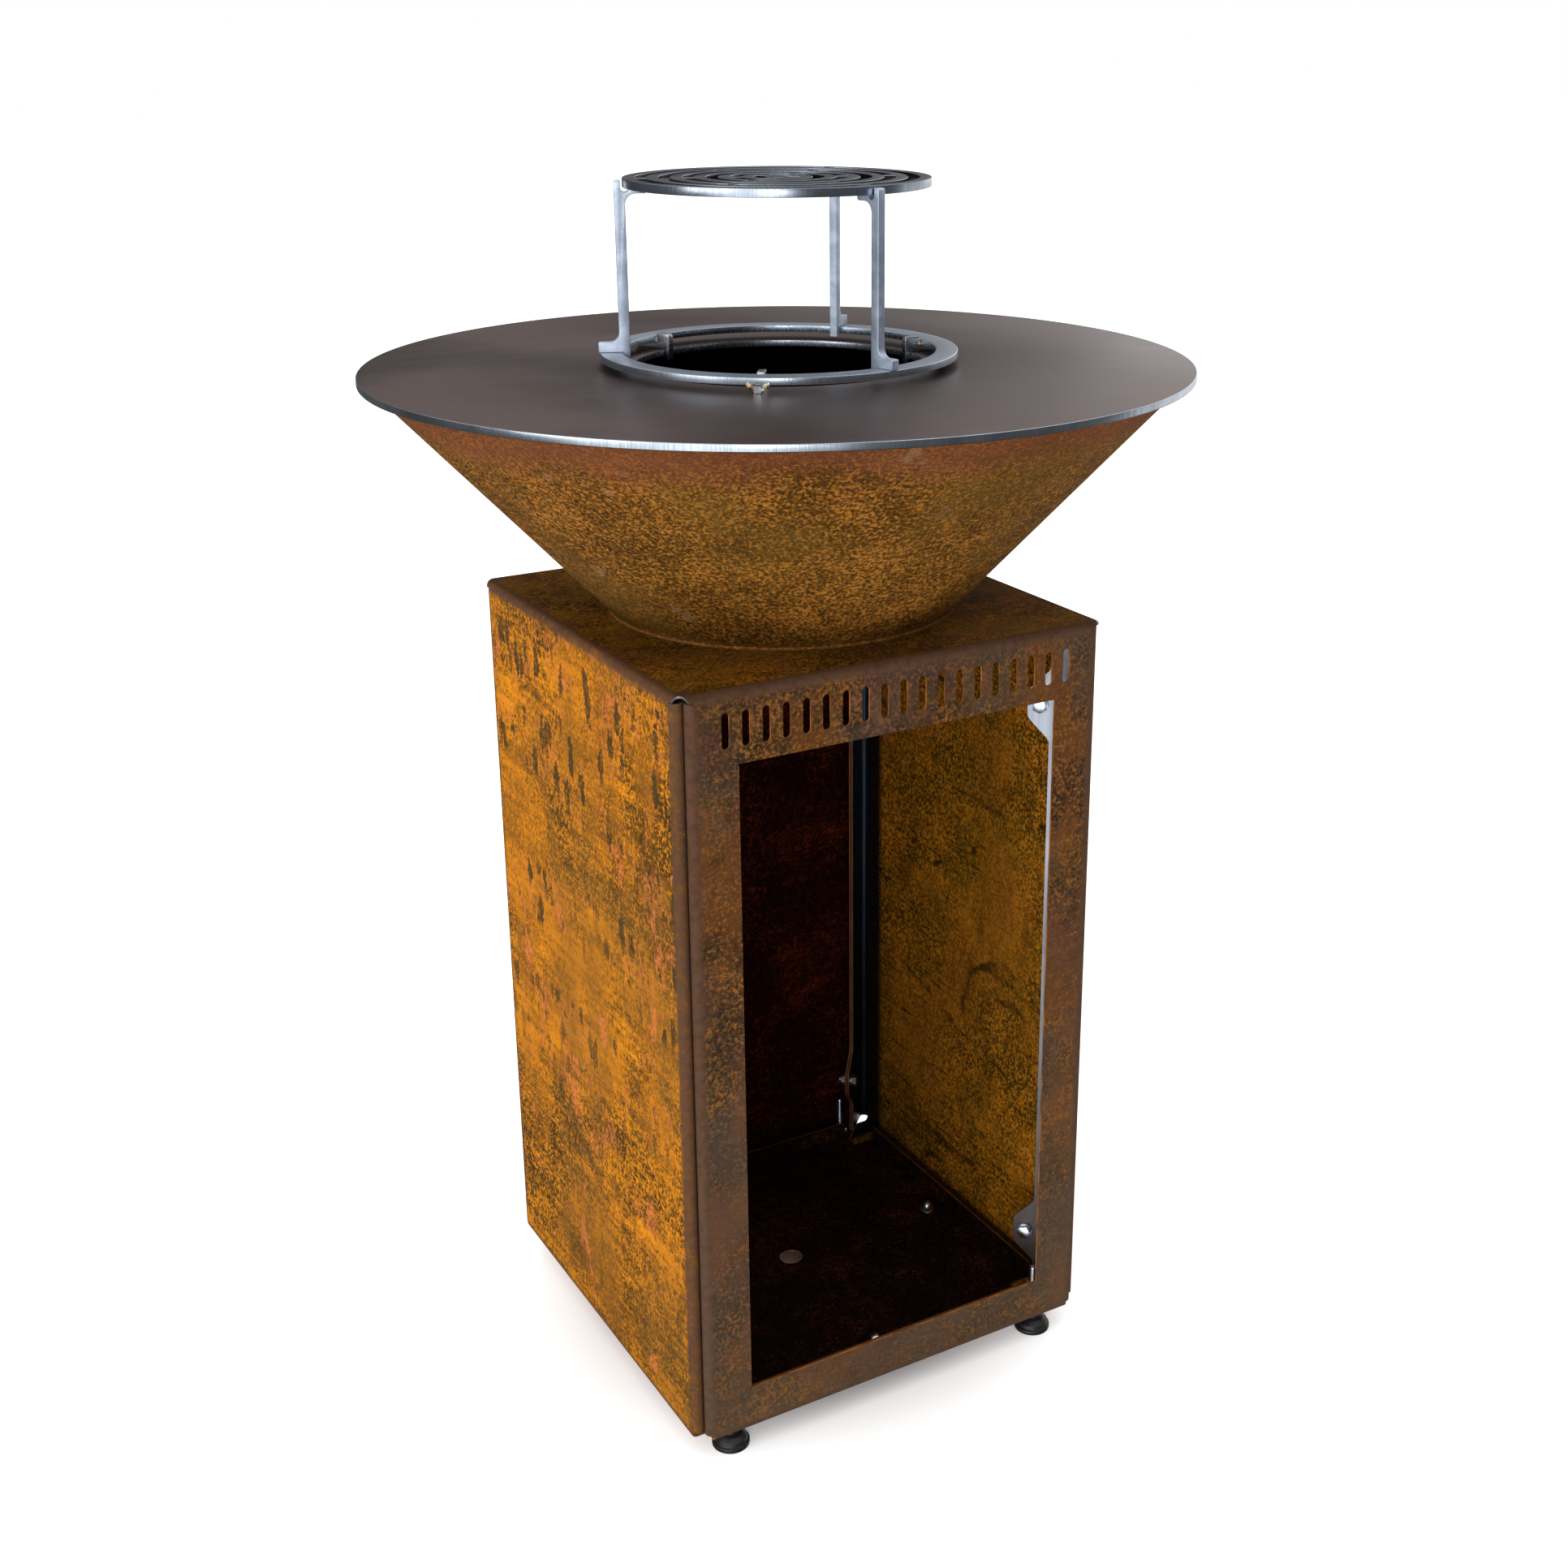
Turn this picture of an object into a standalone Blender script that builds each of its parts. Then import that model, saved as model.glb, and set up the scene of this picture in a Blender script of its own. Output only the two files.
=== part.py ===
"""Fire pit with a cooking plate and a raised grate, on a folded steel log stand.

Metres, +Z up.  The origin is on the ground under the middle of the stand, and the stand's open front
faces -Y.  Every piece is one named object with its own material.  Pieces that touch keep a small gap.
"""

import math

import bmesh
import bpy
from mathutils import Matrix, Vector

GAP = 0.0003                      # between pieces that rest on each other

# The stand: four folded panels of weathering steel
STAND_SIDE = 0.462
STAND_BOTTOM = 0.0264
STAND_TOP = 0.8026
SHEET = 0.002
FOLD_RADIUS = 0.007               # outside radius of every fold
SEAM_GAP = 0.0004                 # from a folded edge to the corner's diagonal
FLAP_DEPTH = 0.120                # top flaps, measured from the outer face
FLANGE_DEPTH = 0.065              # bottom flanges, measured from the outer face
CORNER_TURN = math.radians(135.0)
STRIP_REACH = 0.0365              # folded edge, measured from both outer faces of its corner
TAB_REACH = 0.0522
TAB_HALF = 0.0140                 # half the height of a tab at its full width
TAB_TAPER = 0.0230
TAB_ROUND = 0.010
TAB_HEIGHTS = (0.1105, 0.7130)
BOLT_REACH = 0.0435               # corner bolts, measured like the strip
OPENING_HALF_WIDTH = 0.172
OPENING_BOTTOM = 0.0751
OPENING_TOP = 0.7326
RELIEF = 0.001                    # slit between neighbouring folds of one panel
FLAP_TIP_INSET = 0.005

# The row of slots over the opening
SLOT_COUNT = 19
SLOT_PITCH = 0.0205
SLOT_HEIGHT = 0.034
SLOT_WIDTH = 0.008
SLOT_CENTRE_Z = 0.7652

# The floor tray and the levelling feet
TRAY_HALF_X = 0.211
TRAY_HALF_Y = 0.196
TRAY_RIM_TOP = 0.0475
TRAY_FOLD_RADIUS = 0.004
TRAY_NOTCH = 0.028
TRAY_BOLT_REACH = 0.182           # from the middle of the stand
DRAIN_RADIUS = 0.013
FOOT_X = 0.185
FOOT_Y = 0.208
FOOT_RADIUS = 0.019
FOOT_HUB_TOP = 0.0193
STUD_TOP = 0.0750

CORNERS = {
    "front_left": (-1, -1),
    "front_right": (1, -1),
    "back_right": (1, 1),
    "back_left": (-1, 1),
}

# M8 fasteners
SHANK_RADIUS = 0.0040
NUT_BORE_RADIUS = 0.0043
HOLE_RADIUS = 0.0045
HEX_RADIUS = 0.0075               # across corners, halved
HEAD_HEIGHT = 0.0053
NUT_HEIGHT = 0.0065
WASHER_RADIUS = 0.0080
WASHER_HEIGHT = 0.0016
FLANGE_NUT_RADIUS = 0.0090
BOLT_TAIL = 0.004

# The bowl and the plates above it
BOWL_SHEET = 0.003
BOWL_FOOT_RADIUS = 0.1756
BOWL_RIM_RADIUS = 0.3880
PLATE_RADIUS = 0.400
PLATE_HOLE_RADIUS = 0.1405
PLATE_TOP = 1.0414
PLATE_THICKNESS = 0.0068
EDGE_BREAK = 0.0006
RING_RADIUS = 0.1725
RING_HOLE_RADIUS = 0.1514
RING_TOP = 1.0548
RING_THICKNESS = 0.0068
RING_FOOT_AZIMUTHS = (-5.0, 115.0, 235.0)
RING_FOOT_THICKNESS = 0.007
GRATE_RADIUS = 0.1457
GRATE_TOP = 1.2157
GRATE_THICKNESS = 0.008
GRATE_BAND = 0.0112               # width of each ring and of each slot in the grate
GRATE_SLOT_RINGS = 6
GRATE_BRIDGE = 0.009
LEG_AZIMUTHS = (38.5, 158.5, 278.5)
LEG_THICKNESS = 0.008
LEG_INNER = 0.1435
LEG_OUTER = 0.1535

HALF = STAND_SIDE / 2
PLATE_BOTTOM = PLATE_TOP - PLATE_THICKNESS
RING_BOTTOM = RING_TOP - RING_THICKNESS
GRATE_BOTTOM = GRATE_TOP - GRATE_THICKNESS
CORNER_INSET = FOLD_RADIUS + math.sqrt(2) * (FOLD_RADIUS + SEAM_GAP)
FACE_HALF = HALF - CORNER_INSET   # where a panel's flat face ends
FACE_LOW = STAND_BOTTOM + FOLD_RADIUS
FACE_HIGH = STAND_TOP - FOLD_RADIUS
# The fold touches the diagonal this far from both outer faces
SEAM_REACH = FOLD_RADIUS + FOLD_RADIUS * math.sqrt(0.5)
TURNED_STEPS = 72
SMALL_STEPS = 12
FOOT_STEPS = 24
SHARP_ANGLE = math.radians(32.0)

# Colour, roughness and metallic value of each steel
RUST = ((0.24, 0.10, 0.035), 0.85, 0.15)
ZINC = ((0.62, 0.64, 0.66), 0.35, 1.0)
BLACK = ((0.02, 0.02, 0.02), 0.6, 0.0)
COOKING_STEEL = ((0.20, 0.17, 0.16), 0.35, 0.9)
BLASTED_STEEL = ((0.50, 0.55, 0.60), 0.5, 0.8)
DARK_STEEL = ((0.16, 0.14, 0.14), 0.35, 0.9)


# ---------------------------------------------------------------- scene and materials

def clear_scene():
    for old in list(bpy.data.objects):
        bpy.data.objects.remove(old, do_unlink=True)


def new_collection(name):
    made = bpy.data.collections.new(name)
    bpy.context.scene.collection.children.link(made)
    return made


def new_material(name, look):
    color, roughness, metallic = look
    made = bpy.data.materials.new(name)
    made.use_nodes = True
    shader = made.node_tree.nodes["Principled BSDF"]
    shader.inputs["Base Color"].default_value = (*color, 1.0)
    shader.inputs["Roughness"].default_value = roughness
    shader.inputs["Metallic"].default_value = metallic
    return made


def place(name, data, look, matrix=None):
    """One named object in the part's collection.  Copies of one design share its mesh and material."""
    made = bpy.data.objects.new(name, data)
    if not data.materials:
        data.materials.append(new_material(name, look))
    if matrix is not None:
        made.matrix_world = matrix
    PIECES.objects.link(made)
    return made


def finish_pieces():
    """Applies each piece's modifiers, and shades its round faces smooth and its real edges sharp."""
    graph = bpy.context.evaluated_depsgraph_get()
    for piece in PIECES.objects:
        if piece.type != "MESH":
            continue
        if piece.modifiers:
            piece.data = bpy.data.meshes.new_from_object(piece.evaluated_get(graph), depsgraph=graph)
            piece.modifiers.clear()
        piece.data.shade_smooth()
        piece.data.set_sharp_from_angle(angle=SHARP_ANGLE)


# ---------------------------------------------------------------- outlines in a plane

def arc(centre, radius, start, end, steps):
    """Points on a circle from start to end, in degrees."""
    angles = [math.radians(start + (end - start) * i / steps) for i in range(steps + 1)]
    return [(centre[0] + radius * math.cos(a), centre[1] + radius * math.sin(a)) for a in angles]


def circle(centre, radius, steps):
    return arc(centre, radius, 0.0, 360.0, steps)[:-1]


def rounded(points, radius, steps):
    """The open run of points with each inner corner rounded."""
    run = [points[0]]
    for before, corner, after in zip(points, points[1:], points[2:]):
        middle = Vector(corner)
        to_before = Vector(before) - middle
        to_after = Vector(after) - middle
        turn = math.pi - to_before.angle(to_after)
        if turn < 0.01:
            run.append(corner)
            continue
        reach = min(radius * math.tan(turn / 2), 0.45 * min(to_before.length, to_after.length))
        first = middle + to_before.normalized() * reach
        last = middle + to_after.normalized() * reach
        for i in range(steps + 1):
            t = i / steps
            near = first * (1 - t) * (1 - t) + middle * 2 * t * (1 - t) + last * t * t
            run.append((near.x, near.y))
    run.append(points[-1])
    return run


def upright_slot(centre, height, width, steps):
    """A slot with round ends."""
    x, y = centre
    radius = width / 2
    straight = height / 2 - radius
    return arc((x, y + straight), radius, 0, 180, steps) + arc((x, y - straight), radius, 180, 360, steps)


# ---------------------------------------------------------------- ways to make a solid

def flat_plate(name, loops, thickness):
    """A plate cut to the loops: the first is its outline, the others are holes."""
    data = bpy.data.curves.new(name, "CURVE")
    data.dimensions = "2D"
    data.fill_mode = "BOTH"
    data.extrude = thickness / 2
    for loop in loops:
        spline = data.splines.new("POLY")
        spline.points.add(len(loop) - 1)
        for point, (x, y) in zip(spline.points, loop):
            point.co = (x, y, 0.0, 1.0)
        spline.use_cyclic_u = True
    return data


def turned(name, profile, look, steps=TURNED_STEPS, matrix=None):
    """A piece turned about Z from a closed profile of (radius, height), down its outer side first."""
    data = bpy.data.meshes.new(name)
    points = [(radius, 0.0, height) for radius, height in profile]
    edges = [(i, (i + 1) % len(points)) for i in range(len(points))]
    data.from_pydata(points, edges, [])
    made = place(name, data, look, matrix)
    screw = made.modifiers.new("turn", "SCREW")
    screw.steps = steps
    screw.render_steps = steps
    screw.use_merge_vertices = True
    screw.merge_threshold = 0.00001
    screw.use_smooth_shade = False
    return made


def section(kind, radius):
    """One ring of points: round, or hexagonal with its corners at the radius."""
    points = []
    for i in range(SMALL_STEPS):
        angle = 2 * math.pi * i / SMALL_STEPS
        reach = radius
        if kind == "hex":
            reach *= math.cos(math.pi / 6) / math.cos(angle % (math.pi / 3) - math.pi / 6)
        points.append((reach * math.cos(angle), reach * math.sin(angle)))
    return points


def stacked(name, levels, closed=False):
    """A solid lofted through (height, kind, radius) levels, from its low end up.

    A closed stack comes back to its first level, and so has a hole through it.
    """
    mesh = bmesh.new()
    rings = []
    for height, kind, radius in levels:
        rings.append([mesh.verts.new((x, y, height)) for x, y in section(kind, radius)])
    pairs = list(zip(rings, rings[1:]))
    if closed:
        pairs.append((rings[-1], rings[0]))
    else:
        mesh.faces.new(list(reversed(rings[0])))
        mesh.faces.new(rings[-1])
    for low, high in pairs:
        for i in range(SMALL_STEPS):
            j = (i + 1) % SMALL_STEPS
            mesh.faces.new((low[i], low[j], high[j], high[i]))
    data = bpy.data.meshes.new(name)
    mesh.to_mesh(data)
    mesh.free()
    return data


def folded(name, loops, cuts, fold, thickness, look, matrix):
    """A sheet piece: the flat blank is cut along its fold lines, folded, and given its thickness."""
    mesh = bmesh.new()
    edges = []
    for loop in loops:
        ring = [mesh.verts.new((u, v, 0.0)) for u, v in loop]
        edges += [mesh.edges.new((ring[i], ring[(i + 1) % len(ring)])) for i in range(len(ring))]
    bmesh.ops.triangle_fill(mesh, use_beauty=True, edges=edges, normal=(0, 0, 1))
    for where, across in cuts:
        everything = mesh.verts[:] + mesh.edges[:] + mesh.faces[:]
        bmesh.ops.bisect_plane(mesh, geom=everything, dist=1e-6, plane_co=where, plane_no=across)
    bmesh.ops.dissolve_degenerate(mesh, dist=1e-6, edges=mesh.edges[:])
    for vert in mesh.verts:
        vert.co = fold(vert.co.x, vert.co.y)
    data = bpy.data.meshes.new(name)
    mesh.to_mesh(data)
    mesh.free()
    made = place(name, data, look, matrix)
    solid = made.modifiers.new("sheet", "SOLIDIFY")
    solid.thickness = thickness
    solid.offset = -1.0
    solid.use_even_offset = True
    solid.use_quality_normals = True
    return made


def bend(distance, radius, turn):
    """How far along and how far in a point lies after a fold, at this distance past the fold's start."""
    angle = min(distance / radius, turn)
    rest = max(0.0, distance - radius * turn)
    along = radius * math.sin(angle) + rest * math.cos(turn)
    inward = radius * (1 - math.cos(angle)) + rest * math.sin(turn)
    return along, inward


def fold_lines(start, radius, turn, steps, across):
    """Cut lines through one fold, from its start outward along across."""
    direction = Vector(across)
    return [(direction * (start + radius * turn * i / steps), direction) for i in range(steps + 1)]


def radial(azimuth):
    """Stands a plate drawn in (radius, height) up along an azimuth in degrees."""
    return Matrix.Rotation(math.radians(azimuth), 4, "Z") @ Matrix.Rotation(math.pi / 2, 4, "X")


# ---------------------------------------------------------------- the stand's panels

def panel_outline():
    """Half of a panel's blank, from the top flap's middle round its +X side to the bottom flange."""
    quarter = FOLD_RADIUS * math.pi / 2
    flap_start = FACE_HIGH + quarter
    flange_start = FACE_LOW - quarter
    corner_fold = FOLD_RADIUS * CORNER_TURN
    strip = FACE_HALF + corner_fold + (STRIP_REACH - SEAM_REACH) * math.sqrt(2)
    tab = FACE_HALF + corner_fold + (TAB_REACH - SEAM_REACH) * math.sqrt(2)
    flap_corner = HALF - FOLD_RADIUS - SEAM_GAP
    outline = [
        (HALF - FLAP_DEPTH - SEAM_GAP, flap_start + FLAP_DEPTH - FOLD_RADIUS),
        (flap_corner, flap_start),
        (flap_corner - FLAP_TIP_INSET, FACE_HIGH),
        (FACE_HALF, FACE_HIGH),
        (FACE_HALF, FACE_HIGH - RELIEF),
    ]
    edge = [(strip, FACE_HIGH - RELIEF)]
    for height in reversed(TAB_HEIGHTS):
        edge += [
            (strip, height + TAB_HALF + TAB_TAPER),
            (tab, height + TAB_HALF),
            (tab, height - TAB_HALF),
            (strip, height - TAB_HALF - TAB_TAPER),
        ]
    edge.append((strip, FACE_LOW + RELIEF))
    outline += rounded(edge, TAB_ROUND, 3)
    straight = HALF - SEAM_GAP - FACE_HALF - FOLD_RADIUS
    outline += [
        (FACE_HALF, FACE_LOW + RELIEF),
        (FACE_HALF, FACE_LOW),
        (FACE_HALF, flange_start - straight),
        (HALF - FLANGE_DEPTH - SEAM_GAP, flange_start - (FLANGE_DEPTH - FOLD_RADIUS)),
    ]
    return outline


def fold_panel(u, v):
    """A blank's point on the folded front panel's outer face."""
    if v > FACE_HIGH:
        up, inward = bend(v - FACE_HIGH, FOLD_RADIUS, math.pi / 2)
        return Vector((u, -HALF + inward, FACE_HIGH + up))
    if v < FACE_LOW:
        down, inward = bend(FACE_LOW - v, FOLD_RADIUS, math.pi / 2)
        return Vector((u, -HALF + inward, FACE_LOW - down))
    if abs(u) > FACE_HALF:
        out, inward = bend(abs(u) - FACE_HALF, FOLD_RADIUS, CORNER_TURN)
        return Vector((math.copysign(FACE_HALF + out, u), -HALF + inward, v))
    return Vector((u, -HALF, v))


def panel_cuts():
    cuts = []
    for side in (1, -1):
        cuts += fold_lines(FACE_HALF, FOLD_RADIUS, CORNER_TURN, 7, (side, 0, 0))
    cuts += fold_lines(FACE_HIGH, FOLD_RADIUS, math.pi / 2, 5, (0, 1, 0))
    cuts += fold_lines(-FACE_LOW, FOLD_RADIUS, math.pi / 2, 5, (0, -1, 0))
    return cuts


def panel(name, turn, holes):
    right = panel_outline()
    left = [(-u, v) for u, v in reversed(right)]
    bolt = FACE_HALF + FOLD_RADIUS * CORNER_TURN + (BOLT_REACH - SEAM_REACH) * math.sqrt(2)
    loops = [right + left]
    for side in (1, -1):
        loops += [circle((side * bolt, height), HOLE_RADIUS, SMALL_STEPS) for height in TAB_HEIGHTS]
    tray_bolt = FACE_LOW - FOLD_RADIUS * math.pi / 2 - (HALF - TRAY_BOLT_REACH - FOLD_RADIUS)
    loops.append(circle((0.0, tray_bolt), HOLE_RADIUS, SMALL_STEPS))
    matrix = Matrix.Rotation(turn, 4, "Z")
    folded(name, loops + holes, panel_cuts(), fold_panel, SHEET, RUST, matrix)


def foot_holes():
    """The holes in the front and back bottom flanges that the feet's studs pass through."""
    depth = FACE_LOW - FOLD_RADIUS * math.pi / 2 - (HALF - FOOT_Y - FOLD_RADIUS)
    return [circle((side * FOOT_X, depth), HOLE_RADIUS, SMALL_STEPS) for side in (1, -1)]


def front_holes():
    opening = [
        (OPENING_HALF_WIDTH, OPENING_BOTTOM),
        (OPENING_HALF_WIDTH, OPENING_TOP),
        (-OPENING_HALF_WIDTH, OPENING_TOP),
        (-OPENING_HALF_WIDTH, OPENING_BOTTOM),
    ]
    slots = []
    for i in range(SLOT_COUNT):
        middle = ((i - (SLOT_COUNT - 1) / 2) * SLOT_PITCH, SLOT_CENTRE_Z)
        slots.append(upright_slot(middle, SLOT_HEIGHT, SLOT_WIDTH, 4))
    return [opening] + slots + foot_holes()


def stand_panels():
    panel("front_panel", 0.0, front_holes())
    panel("right_panel", math.pi / 2, [])
    panel("back_panel", math.pi, foot_holes())
    panel("left_panel", -math.pi / 2, [])


# ---------------------------------------------------------------- the floor tray

def floor_tray():
    flat_x = TRAY_HALF_X - TRAY_FOLD_RADIUS
    flat_y = TRAY_HALF_Y - TRAY_FOLD_RADIUS
    bottom = STAND_BOTTOM + SHEET + GAP
    quarter = TRAY_FOLD_RADIUS * math.pi / 2
    rim = quarter + TRAY_RIM_TOP - bottom - TRAY_FOLD_RADIUS
    notch_x = TRAY_HALF_X - TRAY_NOTCH
    notch_y = TRAY_HALF_Y - TRAY_NOTCH

    def fold(u, v):
        if abs(u) > flat_x:
            out, up = bend(abs(u) - flat_x, TRAY_FOLD_RADIUS, math.pi / 2)
            return Vector((math.copysign(flat_x + out, u), v, bottom + up))
        if abs(v) > flat_y:
            out, up = bend(abs(v) - flat_y, TRAY_FOLD_RADIUS, math.pi / 2)
            return Vector((u, math.copysign(flat_y + out, v), bottom + up))
        return Vector((u, v, bottom))

    quadrant = [
        (flat_x + rim, notch_y),
        (notch_x, notch_y),
        (notch_x, flat_y + rim),
    ]
    outline = quadrant + [(-u, v) for u, v in reversed(quadrant)]
    outline += [(-u, -v) for u, v in quadrant] + [(u, -v) for u, v in reversed(quadrant)]
    loops = [outline, circle((0, 0), DRAIN_RADIUS, 24)]
    for x, y in ((1, 0), (0, 1), (-1, 0), (0, -1)):
        loops.append(circle((x * TRAY_BOLT_REACH, y * TRAY_BOLT_REACH), HOLE_RADIUS, SMALL_STEPS))
    cuts = []
    for side in (1, -1):
        cuts += fold_lines(flat_x, TRAY_FOLD_RADIUS, math.pi / 2, 3, (side, 0, 0))
        cuts += fold_lines(flat_y, TRAY_FOLD_RADIUS, math.pi / 2, 3, (0, side, 0))
    tray = folded("floor_tray", loops, cuts, fold, SHEET, RUST, Matrix.Identity(4))
    # The drawn face is the underside here, so the sheet grows up from it
    tray.modifiers["sheet"].offset = 1.0


# ---------------------------------------------------------------- fasteners

def corner_fasteners():
    """Two bolts and nuts through each corner's pair of tabs, all put in with their heads to the front."""
    face = SEAM_GAP + SHEET + GAP
    shank_end = -face - NUT_HEIGHT - BOLT_TAIL
    bolt_data = stacked("corner_bolt", [
        (shank_end, "round", SHANK_RADIUS * 0.85),
        (shank_end + 0.001, "round", SHANK_RADIUS),
        (face, "round", SHANK_RADIUS),
        (face, "round", WASHER_RADIUS),
        (face + WASHER_HEIGHT, "round", WASHER_RADIUS),
        (face + WASHER_HEIGHT, "hex", HEX_RADIUS),
        (face + WASHER_HEIGHT + HEAD_HEIGHT, "hex", HEX_RADIUS),
    ])
    nut_data = stacked("corner_nut", [
        (-face - NUT_HEIGHT, "hex", HEX_RADIUS),
        (-face, "hex", HEX_RADIUS),
        (-face, "round", NUT_BORE_RADIUS),
        (-face - NUT_HEIGHT, "round", NUT_BORE_RADIUS),
    ], closed=True)
    reach = HALF - BOLT_REACH
    for corner, (x, y) in CORNERS.items():
        # A head points square to its corner's diagonal, on the side nearer the front
        aim = Vector((x * y, -1, 0)).to_track_quat("Z", "X").to_matrix().to_4x4()
        for height, level in zip(TAB_HEIGHTS, ("low", "high")):
            matrix = Matrix.Translation((x * reach, y * reach, height)) @ aim
            place(f"{corner}_{level}_bolt", bolt_data, ZINC, matrix)
            place(f"{corner}_{level}_nut", nut_data, ZINC, matrix)


def tray_fasteners():
    """A bolt from below and a cap nut above, through the tray and each bottom flange."""
    under = STAND_BOTTOM - GAP
    floor = STAND_BOTTOM + SHEET + GAP + SHEET + GAP
    cap_base = floor + WASHER_HEIGHT
    bolt_data = stacked("tray_bolt", [
        (under - HEAD_HEIGHT, "hex", HEX_RADIUS),
        (under, "hex", HEX_RADIUS),
        (under, "round", SHANK_RADIUS),
        (floor - GAP, "round", SHANK_RADIUS),
    ])
    cap_data = stacked("tray_cap_nut", [
        (floor, "round", WASHER_RADIUS),
        (cap_base, "round", WASHER_RADIUS),
        (cap_base, "hex", HEX_RADIUS),
        (cap_base + 0.0035, "hex", HEX_RADIUS),
        (cap_base + 0.0040, "round", 0.0060),
        (cap_base + 0.0070, "round", 0.0052),
        (cap_base + 0.0092, "round", 0.0030),
        (cap_base + 0.0098, "round", 0.0012),
    ])
    sides = {"right": (1, 0), "back": (0, 1), "left": (-1, 0), "front": (0, -1)}
    for side, (x, y) in sides.items():
        matrix = Matrix.Translation((x * TRAY_BOLT_REACH, y * TRAY_BOLT_REACH, 0))
        place(f"tray_bolt_{side}", bolt_data, ZINC, matrix)
        place(f"tray_cap_nut_{side}", cap_data, ZINC, matrix)


def levelling_feet():
    """Four screw feet: the base and its stud turn together, clamped by a nut on each side of the flange."""
    inside = STAND_BOTTOM + SHEET + GAP
    base_profile = [
        (0.0080, FOOT_HUB_TOP),
        (0.0085, 0.015),
        (0.0125, 0.013),
        (0.0165, 0.009),
        (FOOT_RADIUS - 0.0015, 0.005),
        (FOOT_RADIUS, 0.004),
        (FOOT_RADIUS, 0.001),
        (FOOT_RADIUS - 0.001, 0.0),
        (0.0, 0.0),
        (0.0, FOOT_HUB_TOP),
    ]
    stud_profile = [
        (SHANK_RADIUS * 0.8, STUD_TOP),
        (SHANK_RADIUS, STUD_TOP - 0.001),
        (SHANK_RADIUS, FOOT_HUB_TOP + GAP),
        (0.0, FOOT_HUB_TOP + GAP),
        (0.0, STUD_TOP),
    ]
    lock_data = stacked("foot_lock_nut", [
        (FOOT_HUB_TOP + GAP, "hex", HEX_RADIUS),
        (STAND_BOTTOM - GAP, "hex", HEX_RADIUS),
        (STAND_BOTTOM - GAP, "round", NUT_BORE_RADIUS),
        (FOOT_HUB_TOP + GAP, "round", NUT_BORE_RADIUS),
    ], closed=True)
    nut_data = stacked("foot_flange_nut", [
        (inside, "round", FLANGE_NUT_RADIUS),
        (inside + 0.0015, "round", FLANGE_NUT_RADIUS),
        (inside + 0.0030, "hex", HEX_RADIUS),
        (inside + 0.0030 + NUT_HEIGHT, "hex", HEX_RADIUS),
        (inside + 0.0030 + NUT_HEIGHT, "round", NUT_BORE_RADIUS),
        (inside, "round", NUT_BORE_RADIUS),
    ], closed=True)
    for corner, (x, y) in CORNERS.items():
        matrix = Matrix.Translation((x * FOOT_X, y * FOOT_Y, 0))
        turned(f"foot_base_{corner}", base_profile, BLACK, FOOT_STEPS, matrix)
        turned(f"foot_stud_{corner}", stud_profile, ZINC, SMALL_STEPS, matrix)
        place(f"foot_lock_nut_{corner}", lock_data, ZINC, matrix)
        place(f"foot_flange_nut_{corner}", nut_data, ZINC, matrix)


# ---------------------------------------------------------------- the bowl and the round plates

def bowl():
    base_low = STAND_TOP + GAP
    base_high = base_low + BOWL_SHEET
    turned("bowl_base", [
        (BOWL_FOOT_RADIUS, base_high),
        (BOWL_FOOT_RADIUS, base_low),
        (0.0, base_low),
        (0.0, base_high),
    ], RUST)
    low = base_high + GAP
    high = PLATE_BOTTOM - GAP
    rise = high - low
    run = BOWL_RIM_RADIUS - BOWL_FOOT_RADIUS
    across = BOWL_SHEET * math.hypot(rise, run) / rise
    turned("bowl_cone", [
        (BOWL_RIM_RADIUS, high),
        (BOWL_FOOT_RADIUS, low),
        (BOWL_FOOT_RADIUS - across, low),
        (BOWL_RIM_RADIUS - across, high),
    ], RUST)


def annulus(name, outer, inner, bottom, top, look):
    """A flat ring with its edges broken by a small chamfer."""
    turned(name, [
        (outer - EDGE_BREAK, top),
        (outer, top - EDGE_BREAK),
        (outer, bottom + EDGE_BREAK),
        (outer - EDGE_BREAK, bottom),
        (inner + EDGE_BREAK, bottom),
        (inner, bottom + EDGE_BREAK),
        (inner, top - EDGE_BREAK),
        (inner + EDGE_BREAK, top),
    ], look)


def ring_feet():
    """Plates welded under the fire ring: each has a toe on the plate and a tongue down its hole."""
    inner_edge = 0.1350
    toe_end = RING_RADIUS + 0.0045
    tongue_outer = PLATE_HOLE_RADIUS - GAP
    tongue_bottom = PLATE_BOTTOM - 0.0042
    rest = PLATE_TOP + GAP
    under_ring = RING_BOTTOM - GAP
    head_top = RING_TOP + 0.0020
    inside_ring = RING_HOLE_RADIUS - GAP
    outline = [
        (toe_end, rest),
        (toe_end, under_ring),
        (inside_ring, under_ring),
        (inside_ring, head_top - 0.0015),
        (inside_ring - 0.0015, head_top),
        (inner_edge + 0.0030, head_top),
        (inner_edge + 0.0009, head_top - 0.0009),
        (inner_edge, head_top - 0.0030),
        (inner_edge, tongue_bottom + 0.0015),
        (inner_edge + 0.0015, tongue_bottom),
        (tongue_outer - 0.0010, tongue_bottom),
        (tongue_outer, tongue_bottom + 0.0010),
        (tongue_outer, rest),
    ]
    data = flat_plate("ring_foot", [outline], RING_FOOT_THICKNESS)
    for azimuth, side in zip(RING_FOOT_AZIMUTHS, ("right", "back_left", "front")):
        place(f"ring_foot_{side}", data, DARK_STEEL, radial(azimuth))


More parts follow.
